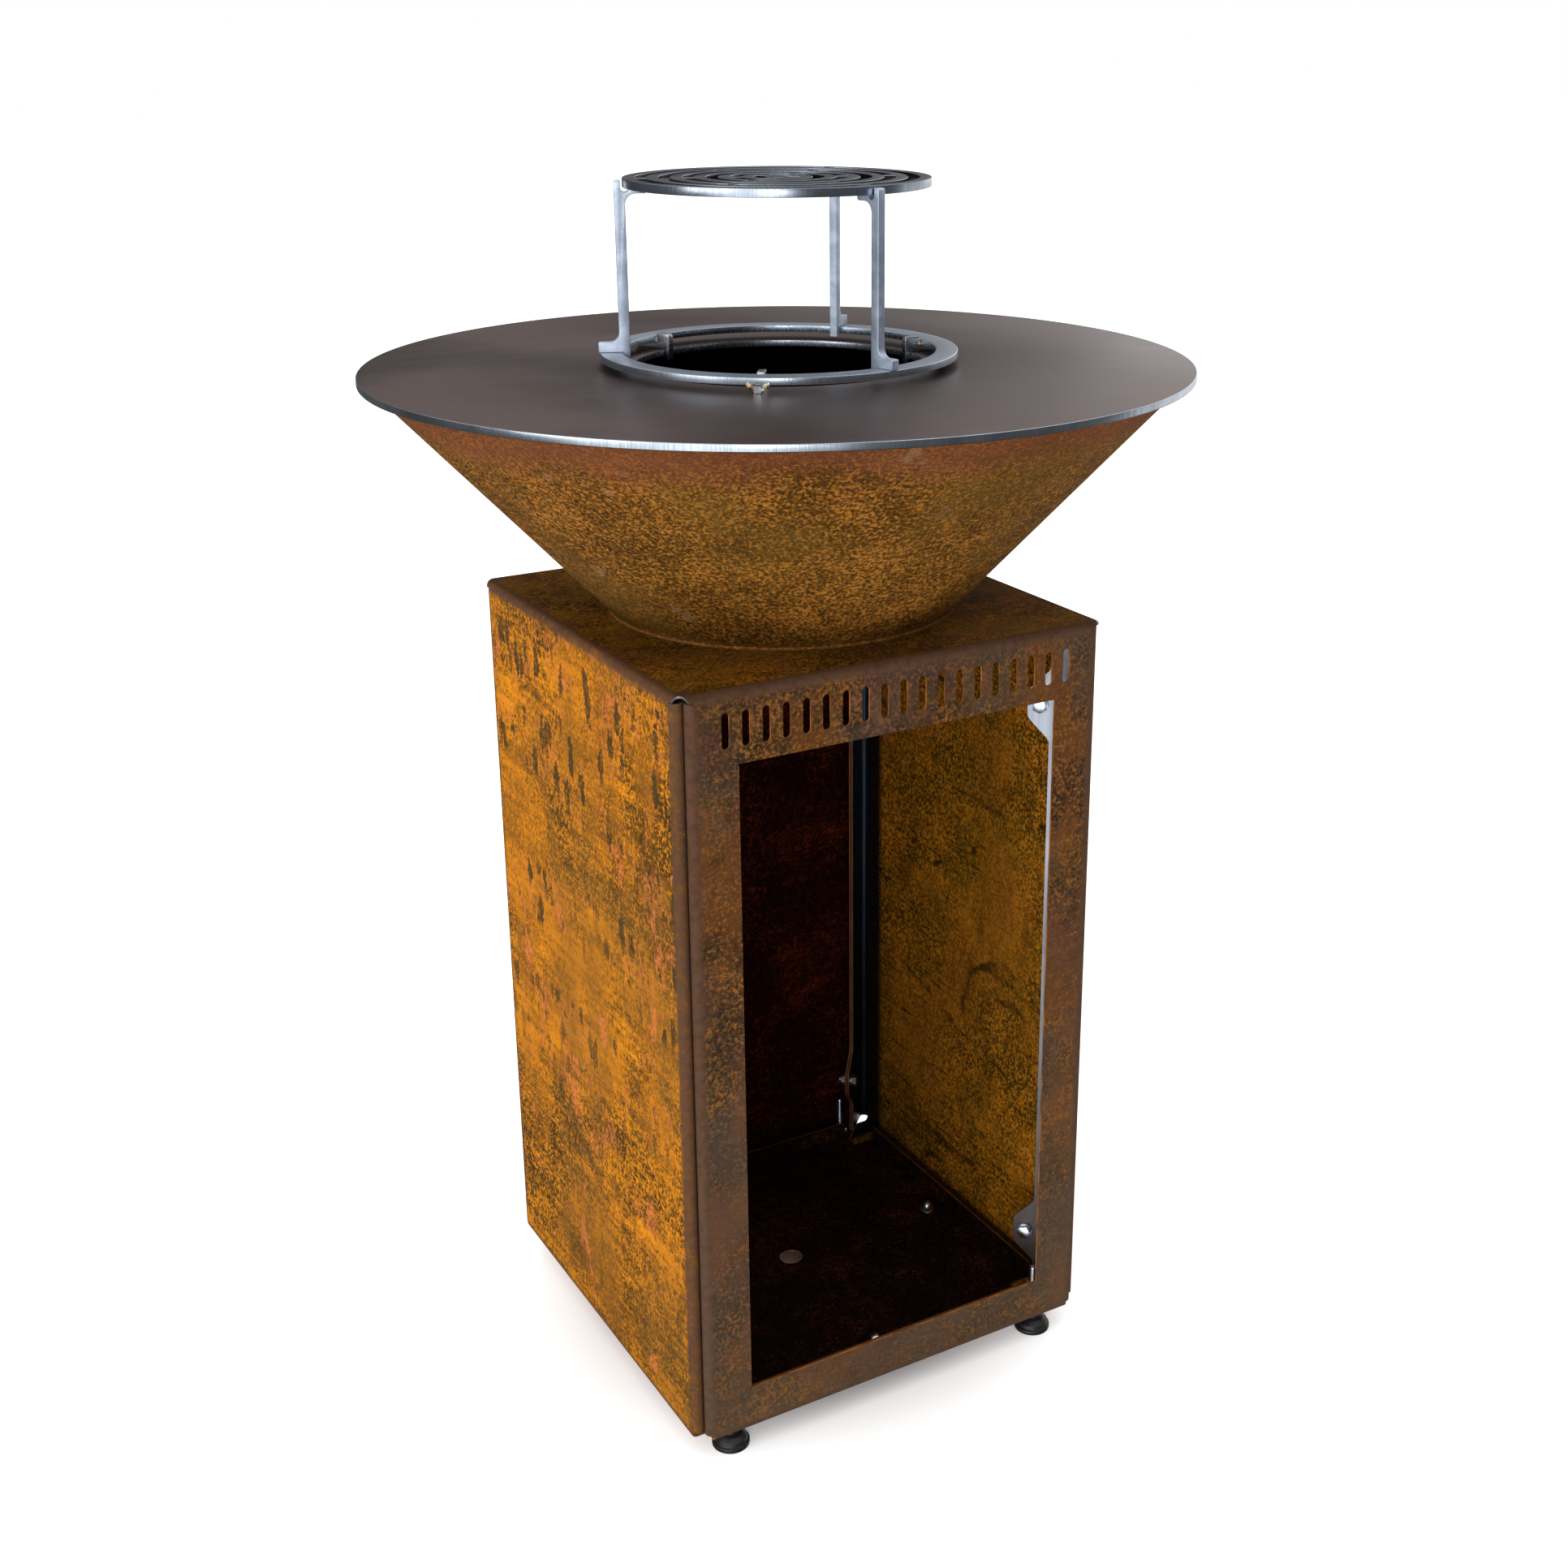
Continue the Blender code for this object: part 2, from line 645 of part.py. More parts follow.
def grate_legs():
    """Plates that carry the grate: toe and lip on the fire ring, arm and lip around the grate's rim."""
    rest = RING_TOP + GAP
    toe_end = 0.1735
    toe_top = rest + 0.0095
    toe_fillet = 0.009
    lip_outer = RING_HOLE_RADIUS - 0.0006
    lip_bottom = RING_TOP - 0.0090
    arm_top = GRATE_BOTTOM - GAP
    arm_bottom = arm_top - 0.0055
    arm_end = 0.1235
    arm_fillet = 0.010
    notch_radius = 0.0040
    notch_centre = (LEG_INNER, arm_top)
    rim_lip_inner = LEG_INNER + notch_radius
    rim_lip_top = GRATE_TOP - 0.0015
    outline = [
        (LEG_INNER, lip_bottom),
        (lip_outer - 0.0025, lip_bottom),
        (lip_outer, lip_bottom + 0.0025),
        (lip_outer, rest),
        (toe_end, rest),
        (toe_end, toe_top - 0.0012),
        (toe_end - 0.0012, toe_top),
    ]
    outline += arc((LEG_OUTER + toe_fillet, toe_top + toe_fillet), toe_fillet, 270, 180, 5)
    outline += arc((LEG_OUTER - 0.003, rim_lip_top - 0.003), 0.003, 0, 90, 4)
    outline += [
        (rim_lip_inner + 0.0008, rim_lip_top),
        (rim_lip_inner, rim_lip_top - 0.0008),
    ]
    outline += arc(notch_centre, notch_radius, 0, -180, 8)
    outline += [
        (arm_end + 0.001, arm_top),
        (arm_end, arm_top - 0.001),
        (arm_end, arm_bottom + 0.0015),
        (arm_end + 0.0015, arm_bottom),
    ]
    outline += arc((LEG_INNER - arm_fillet, arm_bottom - arm_fillet), arm_fillet, 90, 0, 5)
    data = flat_plate("grate_leg", [outline], LEG_THICKNESS)
    for azimuth, side in zip(LEG_AZIMUTHS, ("back", "left", "right")):
        place(f"grate_leg_{side}", data, BLASTED_STEEL, radial(azimuth))


def grate():
    """A disc cut into rings by arc-shaped slots, joined by three bridges in each row of slots."""
    loops = [circle((0, 0), GRATE_RADIUS, TURNED_STEPS)]
    for row in range(GRATE_SLOT_RINGS):
        outer = GRATE_RADIUS - GRATE_BAND * (2 * row + 1)
        inner = outer - GRATE_BAND
        half_bridge = math.degrees(GRATE_BRIDGE / (outer + inner))
        steps = max(4, round(16 * outer / GRATE_RADIUS))
        shift = 60.0 * (row % 2)
        for azimuth in LEG_AZIMUTHS:
            start = azimuth + shift + half_bridge
            end = azimuth + shift + 120.0 - half_bridge
            loops.append(arc((0, 0), outer, start, end, steps) + arc((0, 0), inner, end, start, steps))
    data = flat_plate("grate", loops, GRATE_THICKNESS)
    place("grate", data, DARK_STEEL, Matrix.Translation((0, 0, GRATE_TOP - GRATE_THICKNESS / 2)))


def build():
    stand_panels()
    floor_tray()
    corner_fasteners()
    tray_fasteners()
    levelling_feet()
    bowl()
    annulus("cooking_plate", PLATE_RADIUS, PLATE_HOLE_RADIUS, PLATE_BOTTOM, PLATE_TOP, COOKING_STEEL)
    annulus("fire_ring", RING_RADIUS, RING_HOLE_RADIUS, RING_BOTTOM, RING_TOP, BLASTED_STEEL)
    ring_feet()
    grate_legs()
    grate()
    finish_pieces()


clear_scene()
PIECES = new_collection("fire_pit")
build()
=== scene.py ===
"""Looks for the fire pit: fine sheet metal, round plates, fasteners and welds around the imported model."""

import math
import random

import bmesh
import bpy
from mathutils import Matrix, Vector


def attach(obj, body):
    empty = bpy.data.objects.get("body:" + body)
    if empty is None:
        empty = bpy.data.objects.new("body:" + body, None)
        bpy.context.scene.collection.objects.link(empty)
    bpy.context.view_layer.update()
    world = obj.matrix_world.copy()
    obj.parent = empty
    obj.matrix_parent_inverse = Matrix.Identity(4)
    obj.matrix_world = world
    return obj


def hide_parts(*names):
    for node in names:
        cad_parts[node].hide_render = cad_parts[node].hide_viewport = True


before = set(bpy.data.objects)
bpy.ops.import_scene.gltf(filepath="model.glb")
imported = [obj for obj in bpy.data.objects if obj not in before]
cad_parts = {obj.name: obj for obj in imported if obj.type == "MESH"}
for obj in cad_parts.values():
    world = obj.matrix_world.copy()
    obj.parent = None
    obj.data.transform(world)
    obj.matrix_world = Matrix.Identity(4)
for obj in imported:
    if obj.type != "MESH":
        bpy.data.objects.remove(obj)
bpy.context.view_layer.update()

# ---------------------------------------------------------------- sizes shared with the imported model

GAP = 0.0003
STAND_SIDE = 0.462
STAND_BOTTOM = 0.0264
STAND_TOP = 0.8026
SHEET = 0.002
FOLD_RADIUS = 0.007
SEAM_GAP = 0.0004
FLAP_DEPTH = 0.120
FLANGE_DEPTH = 0.065
CORNER_TURN = math.radians(135.0)
STRIP_REACH = 0.0365
TAB_REACH = 0.0522
TAB_HALF = 0.0140
TAB_TAPER = 0.0230
TAB_ROUND = 0.010
TAB_HEIGHTS = (0.1105, 0.7130)
BOLT_REACH = 0.0435
OPENING_HALF_WIDTH = 0.172
OPENING_BOTTOM = 0.0751
OPENING_TOP = 0.7326
RELIEF = 0.001
FLAP_TIP_INSET = 0.005
SLOT_COUNT = 19
SLOT_PITCH = 0.0205
SLOT_HEIGHT = 0.034
SLOT_WIDTH = 0.008
SLOT_CENTRE_Z = 0.7652
TRAY_HALF_X = 0.211
TRAY_HALF_Y = 0.196
TRAY_RIM_TOP = 0.0475
TRAY_FOLD_RADIUS = 0.004
TRAY_NOTCH = 0.028
TRAY_BOLT_REACH = 0.182
DRAIN_RADIUS = 0.013
FOOT_X = 0.185
FOOT_Y = 0.208
FOOT_RADIUS = 0.019
FOOT_HUB_TOP = 0.0193
STUD_TOP = 0.0750
SHANK_RADIUS = 0.0040
HOLE_RADIUS = 0.0045
THREAD_PITCH = 0.00125
THREAD_DEPTH = 0.0006
HEX_FLAT = 0.0130
HEAD_HEIGHT = 0.0053
NUT_HEIGHT = 0.0065
WASHER_RADIUS = 0.0080
WASHER_HEIGHT = 0.0016
FLANGE_NUT_RADIUS = 0.0090
BOLT_TAIL = 0.004
BOWL_SHEET = 0.003
BOWL_FOOT_RADIUS = 0.1756
BOWL_RIM_RADIUS = 0.3880
PLATE_RADIUS = 0.400
PLATE_HOLE_RADIUS = 0.1405
PLATE_TOP = 1.0414
PLATE_THICKNESS = 0.0068
RING_RADIUS = 0.1725
RING_HOLE_RADIUS = 0.1514
RING_TOP = 1.0548
RING_THICKNESS = 0.0068
RING_FOOT_AZIMUTHS = {"right": -5.0, "back_left": 115.0, "front": 235.0}
RING_FOOT_THICKNESS = 0.007
GRATE_RADIUS = 0.1457
GRATE_TOP = 1.2157
GRATE_THICKNESS = 0.008
GRATE_BAND = 0.0112
GRATE_SLOT_RINGS = 6
GRATE_BRIDGE = 0.009
LEG_AZIMUTHS = {"back": 38.5, "left": 158.5, "right": 278.5}
LEG_THICKNESS = 0.008
LEG_INNER = 0.1435
LEG_OUTER = 0.1535
CORNERS = {"front_left": (-1, -1), "front_right": (1, -1), "back_right": (1, 1), "back_left": (-1, 1)}
TRAY_SIDES = {"right": (1, 0), "back": (0, 1), "left": (-1, 0), "front": (0, -1)}

HALF = STAND_SIDE / 2
PLATE_BOTTOM = PLATE_TOP - PLATE_THICKNESS
RING_BOTTOM = RING_TOP - RING_THICKNESS
GRATE_BOTTOM = GRATE_TOP - GRATE_THICKNESS
CORNER_INSET = FOLD_RADIUS + math.sqrt(2) * (FOLD_RADIUS + SEAM_GAP)
FACE_HALF = HALF - CORNER_INSET
FACE_LOW = STAND_BOTTOM + FOLD_RADIUS
FACE_HIGH = STAND_TOP - FOLD_RADIUS
SEAM_REACH = FOLD_RADIUS + FOLD_RADIUS * math.sqrt(0.5)
RIGHT_ANGLE = math.pi / 2
QUARTER_FOLD = FOLD_RADIUS * RIGHT_ANGLE

# ---------------------------------------------------------------- sizes of the fine detail

SHARP = math.radians(34.0)
ROUND_STEPS = 256
HOLE_STEPS = 24
BOLT_STEPS = 48
BOLT_ANGLES = [2 * math.pi * i / BOLT_STEPS for i in range(BOLT_STEPS)]
BORE_RADIUS = SHANK_RADIUS + 0.0002
BORE_SINK = 0.0006
HEX_CHAMFER_START = 0.97            # the part of a hexagon's width that its chamfer leaves flat
CHAMFER_SLOPE = math.tan(math.radians(30.0))
SEAM_FILL = 0.98                    # the part of a seam's gap that the dark strip of painted shade fills
STRAIGHT_ENOUGH = 0.01              # a turn that isn't rounded, in radians
MERGE = 1e-6
SCUFF_Y = -0.084                    # the middle of the arcs rubbed into the right-hand wall
SCUFF_Z = 0.280
SCUFF_RADII = (0.100, 0.062)


# ---------------------------------------------------------------- materials

def linear(color):
    """A colour given as screen values out of 255, in linear light."""
    parts = [value / 255.0 for value in color]
    return (*[part / 12.92 if part <= 0.04045 else ((part + 0.055) / 1.055) ** 2.4 for part in parts], 1.0)


class Value:
    """What a node puts out.  Arithmetic on it adds more nodes."""

    def __init__(self, net, socket):
        self.net = net
        self.socket = socket

    def __add__(self, other):
        return self.net.math("ADD", self, other)

    def __sub__(self, other):
        return self.net.math("SUBTRACT", self, other)

    def __mul__(self, other):
        return self.net.math("MULTIPLY", self, other)

    def __abs__(self):
        return self.net.math("ABSOLUTE", self)

    def step(self, low, high, start=0.0, end=1.0):
        """A soft step from start to end as the value goes from low to high."""
        inputs = {"Value": self, "From Min": low, "From Max": high, "To Min": start, "To Max": end}
        return self.net.add("ShaderNodeMapRange", "Result", inputs, interpolation_type="SMOOTHSTEP")

    def band(self, middle, half, soft):
        """One inside a band about the middle, and nought outside it."""
        return abs(self - middle).step(half, half + soft, 1.0, 0.0)


class Nodes:
    """A node tree, added to a call at a time."""

    def __init__(self, tree, place):
        self.tree = tree
        self.place = self.add("ShaderNodeTexCoord", place)

    def node(self, kind, inputs, **settings):
        made = self.tree.nodes.new(kind)
        for key, value in settings.items():
            setattr(made, key, value)
        for key, value in dict(inputs).items():
            self.feed(made.inputs[key], value)
        return made

    def add(self, kind, output, inputs=(), **settings):
        return Value(self, self.node(kind, inputs, **settings).outputs[output])

    def feed(self, socket, value):
        """Gives the socket a value, a number, or a colour in screen values."""
        if isinstance(value, Value):
            self.tree.links.new(value.socket, socket)
        else:
            socket.default_value = linear(value) if socket.type == "RGBA" else value

    def spread(self, scale, shift=(0, 0, 0), turn=(0, 0, 0)):
        """The place on the object, stretched, shifted and turned."""
        inputs = {"Vector": self.place, "Scale": scale, "Location": shift, "Rotation": turn}
        return self.add("ShaderNodeMapping", "Vector", inputs)

    def noise(self, scale, detail=3.0, rough=0.5, *spread):
        """Noise at the place on the object, spread as told."""
        place = self.spread(*spread) if spread else self.place
        inputs = {"Vector": place, "Scale": scale, "Detail": detail, "Roughness": rough}
        return self.add("ShaderNodeTexNoise", "Fac", inputs)

    def math(self, operation, first, second=0.0):
        return self.add("ShaderNodeMath", 0, {0: first, 1: second}, operation=operation)

    def larger(self, first, second):
        return self.math("MAXIMUM", first, second)

    def ramp(self, value, places, colors):
        """A run of colours by value."""
        made = self.node("ShaderNodeValToRGB", {0: value})
        elements = made.color_ramp.elements
        while len(elements) < len(colors):
            elements.new(0.5)
        for element, place, color in zip(elements, places, colors):
            element.position = place
            element.color = linear(color)
        return Value(self, made.outputs["Color"])

    def mix(self, factor, first, second):
        return self.add("ShaderNodeMix", 2, {0: factor, 6: first, 7: second}, data_type="RGBA")

    def axes(self, vector=None):
        made = self.node("ShaderNodeSeparateXYZ", {0: vector or self.place})
        return [Value(self, output) for output in made.outputs]

    def bump(self, height, distance, strength, **under):
        inputs = {"Height": height, "Distance": distance, "Strength": strength, **under}
        return self.add("ShaderNodeBump", "Normal", inputs)


class Shade(Nodes):
    """One material.  Its colour is laid on in washes."""

    def __init__(self, name, metallic=0.0, color=None):
        self.material = bpy.data.materials.new(name)
        self.material.use_nodes = True
        super().__init__(self.material.node_tree, "Object")
        self.set("Metallic", metallic)
        self.color = color

    def set(self, name, value):
        self.feed(self.tree.nodes["Principled BSDF"].inputs[name], value)

    def wash(self, amount, tint):
        self.color = self.mix(amount, self.color, tint)

    def finish(self, roughness, normal=None):
        self.set("Base Color", self.color)
        self.set("Roughness", roughness)
        if normal:
            self.set("Normal", normal)
        return self.material


def fold_mask(shade):
    """One along the stand's folds, and nought on its flat faces."""
    x, y, z = shade.axes()
    x = abs(x)
    y = abs(y)
    corner = shade.math("MINIMUM", x, y).step(0.2085, 0.2155)
    outer = shade.larger(x, y).step(0.2200, 0.2260)
    top = outer * z.step(0.7885, 0.7965)
    low = outer * z.step(0.0385, 0.0320)
    return shade.larger(corner, shade.larger(top, low))


def blots(shade, fine, seed):
    """Short upright drips gathered in rows, and the pale scab round each."""
    place = shade.spread((62.0, 62.0, 20.0), (seed, seed * 0.3, seed * 0.9))
    cells = shade.node("ShaderNodeTexVoronoi", {"Vector": place, "Scale": 1.0})
    chance = shade.axes(Value(shade, cells.outputs["Color"]))[0]
    rows = shade.noise(1.0, 2.0, 0.5, (2.5, 2.5, 13.0), (0, seed, seed))
    ragged = (fine - 0.5) * 0.55
    lumpy = (shade.noise(48.0, 2.0, 0.5) - 0.5) * 0.9
    near = Value(shade, cells.outputs["Distance"]) + (ragged + lumpy)
    where = chance.step(0.30, 0.42) * rows.step(0.48, 0.56)
    return near.step(0.48, 0.34) * where, near.band(0.56, 0.03, 0.05) * where


def scuffs(shade):
    """Thin slanting scratches, and two arcs rubbed into the right-hand wall by a stored pan."""
    lines = shade.noise(1.0, 2.0, 0.5, (1.0, 2.0, 26.0), (0, 0, 0), (-0.62, 0, 0)).band(0.5, 0.004, 0.008)
    x, y, z = shade.axes()
    across = y - SCUFF_Y
    up = z - SCUFF_Z
    away = shade.math("SQRT", across * across + up * up)
    wander = away + shade.noise(22.0, 3.0, 0.6) * 0.03
    arcs = shade.larger(*[wander.band(radius, 0.002, 0.004) for radius in SCUFF_RADII]) * up.step(-0.02, 0.02)
    patchy = shade.noise(30.0, 3.0, 0.6).step(0.40, 0.60, 0.15, 1.0)
    return shade.larger(lines, arcs) * patchy


def rust(
    name, seed, tones, stain, crust, fold,
    shift=0.0, runs=0.0, scabs=0.0, bands=0.5, speckle=1.6, blotch=1.0, washes=(), greyed=0.0, scuffed_and_shaded=False,
):
    """Weathered steel: a fine crisp mottle in broad water-lined bands, with dark drips and raised scabs.

    tones go from the darkest speck to the calm bright scale, and shift moves the whole sheet along them.
    runs, scabs, bands, speckle and blotch are strengths.  washes are broad clouds of (colour, amount, scale).
    greyed is how far the steel's foot has gone grey.  A scuffed wall also gets painted shade: near black towards
    the back corner, as shade with some dark bare steel.
    """
    shade = Shade(name)
    shade.set("Specular IOR Level", RUST_SHINE)
    place = (EVENLY, (seed, seed * 0.7, seed * 1.3))
    fine = shade.noise(300.0, 3.0, 0.65, *place)
    coarse = shade.noise(120.0, 3.0, 0.62, *place)
    broad = shade.noise(17.0, 5.0, 0.62, *place)
    level = shade.noise(1.0, 4.0, 0.55, (2.2, 2.2, 9.0), (seed, 0, seed), WATER_TILT)
    streak = shade.noise(1.0, 3.0, 0.6, (9.0, 9.0, 130.0), (seed, 0, seed), WATER_TILT)
    lift = (coarse - 0.5) * (0.6 * blotch) + (broad - 0.5) * (0.75 * blotch)
    lift = lift + (level - 0.5) * (bands * 1.3) + (streak - 0.5) * (bands * 0.85)
    speck = (fine - 0.5) * level.step(0.38, 0.62, speckle, speckle * 0.55)
    tone = speck + (0.5 + shift) + lift
    shade.color = shade.ramp(tone, (0.20, 0.40, 0.50, 0.60, 0.82), tones)
    normal = shade.bump(tone, 0.0007, 0.5)
    for number, (tint, amount, scale) in enumerate(washes):
        cloud = shade.noise(scale, 4.0, 0.62, (1.0, 1.0, 0.7), (seed * 2.0 + 3.7 * number, number, seed))
        shade.wash(cloud.step(0.45, 0.62, 0.0, amount), tint)
    x, y, z = shade.axes()
    if runs:
        drip, halo = blots(shade, fine, seed)
        upper = z.step(0.22, 0.48, runs * 0.45, runs)
        shade.wash(halo * (upper * 0.45), crust)
        shade.wash(drip * coarse.step(0.34, 0.50, 0.45, 1.0) * upper, stain)
        dash = shade.noise(1.0, 3.0, 0.6, (85.0, 85.0, 14.0), (seed, 0, seed))
        shade.wash(dash.step(0.60, 0.72, 0.0, runs * 0.5), stain)
    if scabs:
        scale_map = shade.noise(20.0, 8.0, 0.72, (1.0, 1.0, 0.6), (0, seed, 0))
        scab = scale_map.step(0.590, 0.606)
        shade.wash(scab * fine.step(0.42, 0.54, 0.35, 1.0) * scabs, crust)
        shade.wash(scale_map.band(0.584, 0.005, 0.008) * (scabs * 0.55), tones[0])
        normal = shade.bump(scab, 0.0005, 0.5, Normal=normal)
    worn = fold_mask(shade) * broad.step(0.30, 0.50, 0.75, 1.0)
    shade.wash(worn, shade.mix(coarse.step(0.4, 0.7, 0.0, 0.5), fold, tones[1]))
    if greyed:
        shade.wash(z.step(0.62, 0.04, 0.0, greyed) * coarse.step(0.30, 0.60, 1.0, 0.55), GREY_BLOOM)
    if scuffed_and_shaded:
        shade.wash(scuffs(shade) * 0.85, stain)
        # Painted shade: near black by the back corner, where the folded strip shades the wall; partly dark bare
        # steel.
        shade.wash(y.step(0.176, 0.190, 0.0, 0.97), PAINTED_CORNER_SHADE)
    return shade.finish(tone.step(0.3, 0.8, 0.76, 0.91), normal)


def bowl_rust(name, inside):
    """The bowl's steel: a leathery fine mottle, redder and darker under the plate, and sooty inside."""
    shade = Shade(name)
    shade.set("Specular IOR Level", RUST_SHINE)
    fine = shade.noise(300.0, 3.0, 0.65)
    coarse = shade.noise(110.0, 3.0, 0.6)
    lift = (fine - 0.5) * 2.3 + (coarse - 0.5) * 0.35
    normal = shade.bump(lift, 0.0006, 0.6)
    if inside:
        shade.color = shade.mix(coarse.step(0.3, 0.7), (9, 8, 8), (26, 22, 20))
        return shade.finish(fine.step(0.3, 0.7, 0.6, 0.95), normal)
    broad = shade.noise(9.0, 5.0, 0.65, (1, 1, 1.5), (3.1, 0.4, 1.7))
    flecks = lift + (broad - 0.5) * 0.7 + 0.5
    shade.color = shade.ramp(flecks, (0.18, 0.40, 0.56, 0.80), BOWL_TONES)
    shade.wash(shade.noise(6.0, 3.0, 0.55, EVENLY, (1.3, 7.7, 2.1)).step(0.46, 0.62) * 0.40, (88, 66, 24))
    z = shade.axes()[2]
    rim = (z + (broad - 0.5) * 0.09).step(0.985, 1.022)
    shade.wash(rim * 0.65, (96, 52, 34))
    shade.wash(shade.noise(28.0, 3.0, 0.5, EVENLY, (5.0, 2.0, 1.0)).step(0.66, 0.72) * 0.35, (120, 98, 76))
    # Painted highlight: a thin lighter band along the bowl's foot.
    shade.wash(z.step(0.8110, 0.8070) * 0.30, (128, 80, 44))
    return shade.finish(lift.step(-0.3, 0.3, 0.76, 0.9), normal)


def surface(name, metallic, color, noises, washes, polish, tooth, rasp=0.0):
    """Metal or plastic in clouds and grain.

    noises are what noise() is told, and the rest name them by number: washes are (noise, from, to, amount,
    colour), polish is (noise, least, most roughness), and tooth is (depth, strength) of the second noise.
    rasp is how much the second noise roughens it.
    """
    shade = Shade(name, metallic, color)
    made = [shade.noise(*noise) for noise in noises]
    for number, low, high, amount, tint in washes:
        shade.wash(made[number].step(low, high, 0.0, amount), tint)
    number, least, most = polish
    rough = made[number].step(0.3, 0.7, least, most)
    if rasp:
        rough = rough + made[1] * rasp
    return shade.finish(rough, shade.bump(made[1], *tooth))


def cut_edge(name, color):
    """A laser-cut sheet edge: fine lines across its thickness under a thin bloom."""
    return surface(
        name, 0.35, color, [(40.0, 4.0, 0.6), (700.0, 2.0, 0.6)],
        [(0, 0.35, 0.65, 1.0, (120, 74, 38))], (1, 0.45, 0.7), (0.0002, 0.4),
    )


def machined_edge(name, light, dark, contrast=0.35):
    """A bright machined rim with fine upright tool marks."""
    return surface(
        name, 1.0, light, [(13.0, 3.0, 0.55), (1.0, 2.0, 0.6, (1400.0, 1400.0, 30.0))],
        [(1, 0.34, 0.66, contrast, dark), (0, 0.42, 0.70, 0.5, dark)], (1, 0.2, 0.32), (0.00006, 0.4),
    )


def bare_steel(name, light, dark, seed):
    """Clean grey mill steel, darker low down, with faint rolling marks and a few stains."""
    shade = Shade(name, 0.85)
    long_marks = shade.noise(1.0, 3.0, 0.6, (160.0, 160.0, 6.0), (seed, 0, 0))
    cloud = shade.noise(14.0, 4.0, 0.6, EVENLY, (seed, seed, seed))
    shade.color = shade.mix(shade.axes()[2].step(0.10, 0.66), dark, light)
    shade.wash(cloud.step(0.40, 0.75, 0.0, 0.45), (74, 62, 54))
    return shade.finish(long_marks.step(0.3, 0.7, 0.28, 0.46) + cloud * 0.12, shade.bump(long_marks, 0.0002, 0.25))


def plate_top(name, base, light, sheen):
    """Oiled cooking steel: soft clouds, smears with a painted sheen, grinding arcs and small scratches."""
    shade = Shade(name, 0.9, base)
    cloud = shade.noise(4.0, 3.0, 0.5)
    smear_and_sheen = shade.noise(1.0, 4.0, 0.6, (9.0, 60.0, 9.0), (0, 0, 0), (0, 0, 0.5))
    grind = shade.noise(1.0, 2.0, 0.5, (30.0, 900.0, 30.0), (0, 0, 0), (0, 0, 0.9))
    grain = shade.noise(900.0, 2.0, 0.5)
    shade.wash(cloud.step(0.35, 0.68), light)
    # Painted sheen: lighter, bluer smears over the oiled steel.
    shade.wash(smear_and_sheen.step(0.52, 0.74, 0.0, 0.34), sheen)
    rough = cloud.step(0.3, 0.7, 0.30, 0.38) + smear_and_sheen * 0.06 + grain * 0.05
    return shade.finish(rough, shade.bump(grind + grain, 0.00006, 0.35))


def blasted(name, light, dark):
    """Bead-blasted steel with a faint tooth, and heat colours near the weld at its top."""
    shade = Shade(name, 0.72, light)
    tooth = shade.noise(1500.0, 2.0, 0.6)
    cloud = shade.noise(30.0, 4.0, 0.6)
    shade.wash(cloud.step(0.36, 0.66), dark)
    shade.wash(tooth.step(0.35, 0.75, 0.0, 0.35), dark)
    height = shade.axes()[2] + (cloud - 0.5) * 0.012
    shade.wash(height.band(1.1935, 0.0035, 0.006) * 0.40, (96, 108, 150))
    shade.wash(height.step(1.1965, 1.2035) * 0.62, (104, 86, 78))
    return shade.finish(tooth.step(0.3, 0.7, 0.38, 0.54), shade.bump(tooth, 0.00012, 0.4))


EVENLY = (1, 1, 1)
WATER_TILT = (0.05, 0.04, 0)        # how far the water lines lean, in radians
RUST_SHINE = 0.04
FOLD_TINT = (80, 56, 42)
GREY_BLOOM = (82, 70, 58)
# Near black for the painted shade on the inside walls by the back corner.
PAINTED_CORNER_SHADE = (8, 12, 16)
BRIGHT = [(62, 42, 14), (106, 70, 18), (146, 92, 16), (172, 106, 12), (200, 124, 24)]
BROWN = [(36, 27, 17), (54, 39, 22), (67, 47, 26), (82, 56, 28), (130, 82, 36)]
OLIVE = [(48, 32, 6), (74, 49, 9), (98, 64, 12), (120, 78, 17), (152, 94, 28)]
INNER = [(58, 42, 10), (96, 68, 14), (136, 92, 16), (168, 108, 22), (210, 130, 36)]
# Near black-red tones, for painted shade inside the stand.
DARK_SHADE_TONES = [(20, 3, 1), (30, 6, 2), (42, 10, 3), (62, 20, 6), (96, 36, 12)]
# Near black tones for the tray floor, for painted shade inside the stand.
FLOOR_SHADE_TONES = [(12, 4, 1), (20, 7, 2), (28, 10, 3), (44, 20, 8), (76, 40, 20)]
BOWL_TONES = [(48, 30, 6), (73, 47, 12), (94, 61, 18), (146, 94, 35)]
RUNS = (58, 46, 24)
CRUST = (186, 104, 54)
GOLDEN = (((164, 100, 18), 0.45, 7.0), ((112, 76, 28), 0.50, 5.0))
PURPLED = (((66, 60, 52), 0.45, 8.0), ((110, 64, 26), 0.45, 14.0), ((74, 48, 40), 0.45, 11.0))
MOSSY = (((112, 82, 14), 0.50, 12.0), ((84, 46, 28), 0.40, 16.0))
UMBER = (((88, 66, 12), 0.4, 6.0), ((176, 104, 30), 0.3, 9.0))

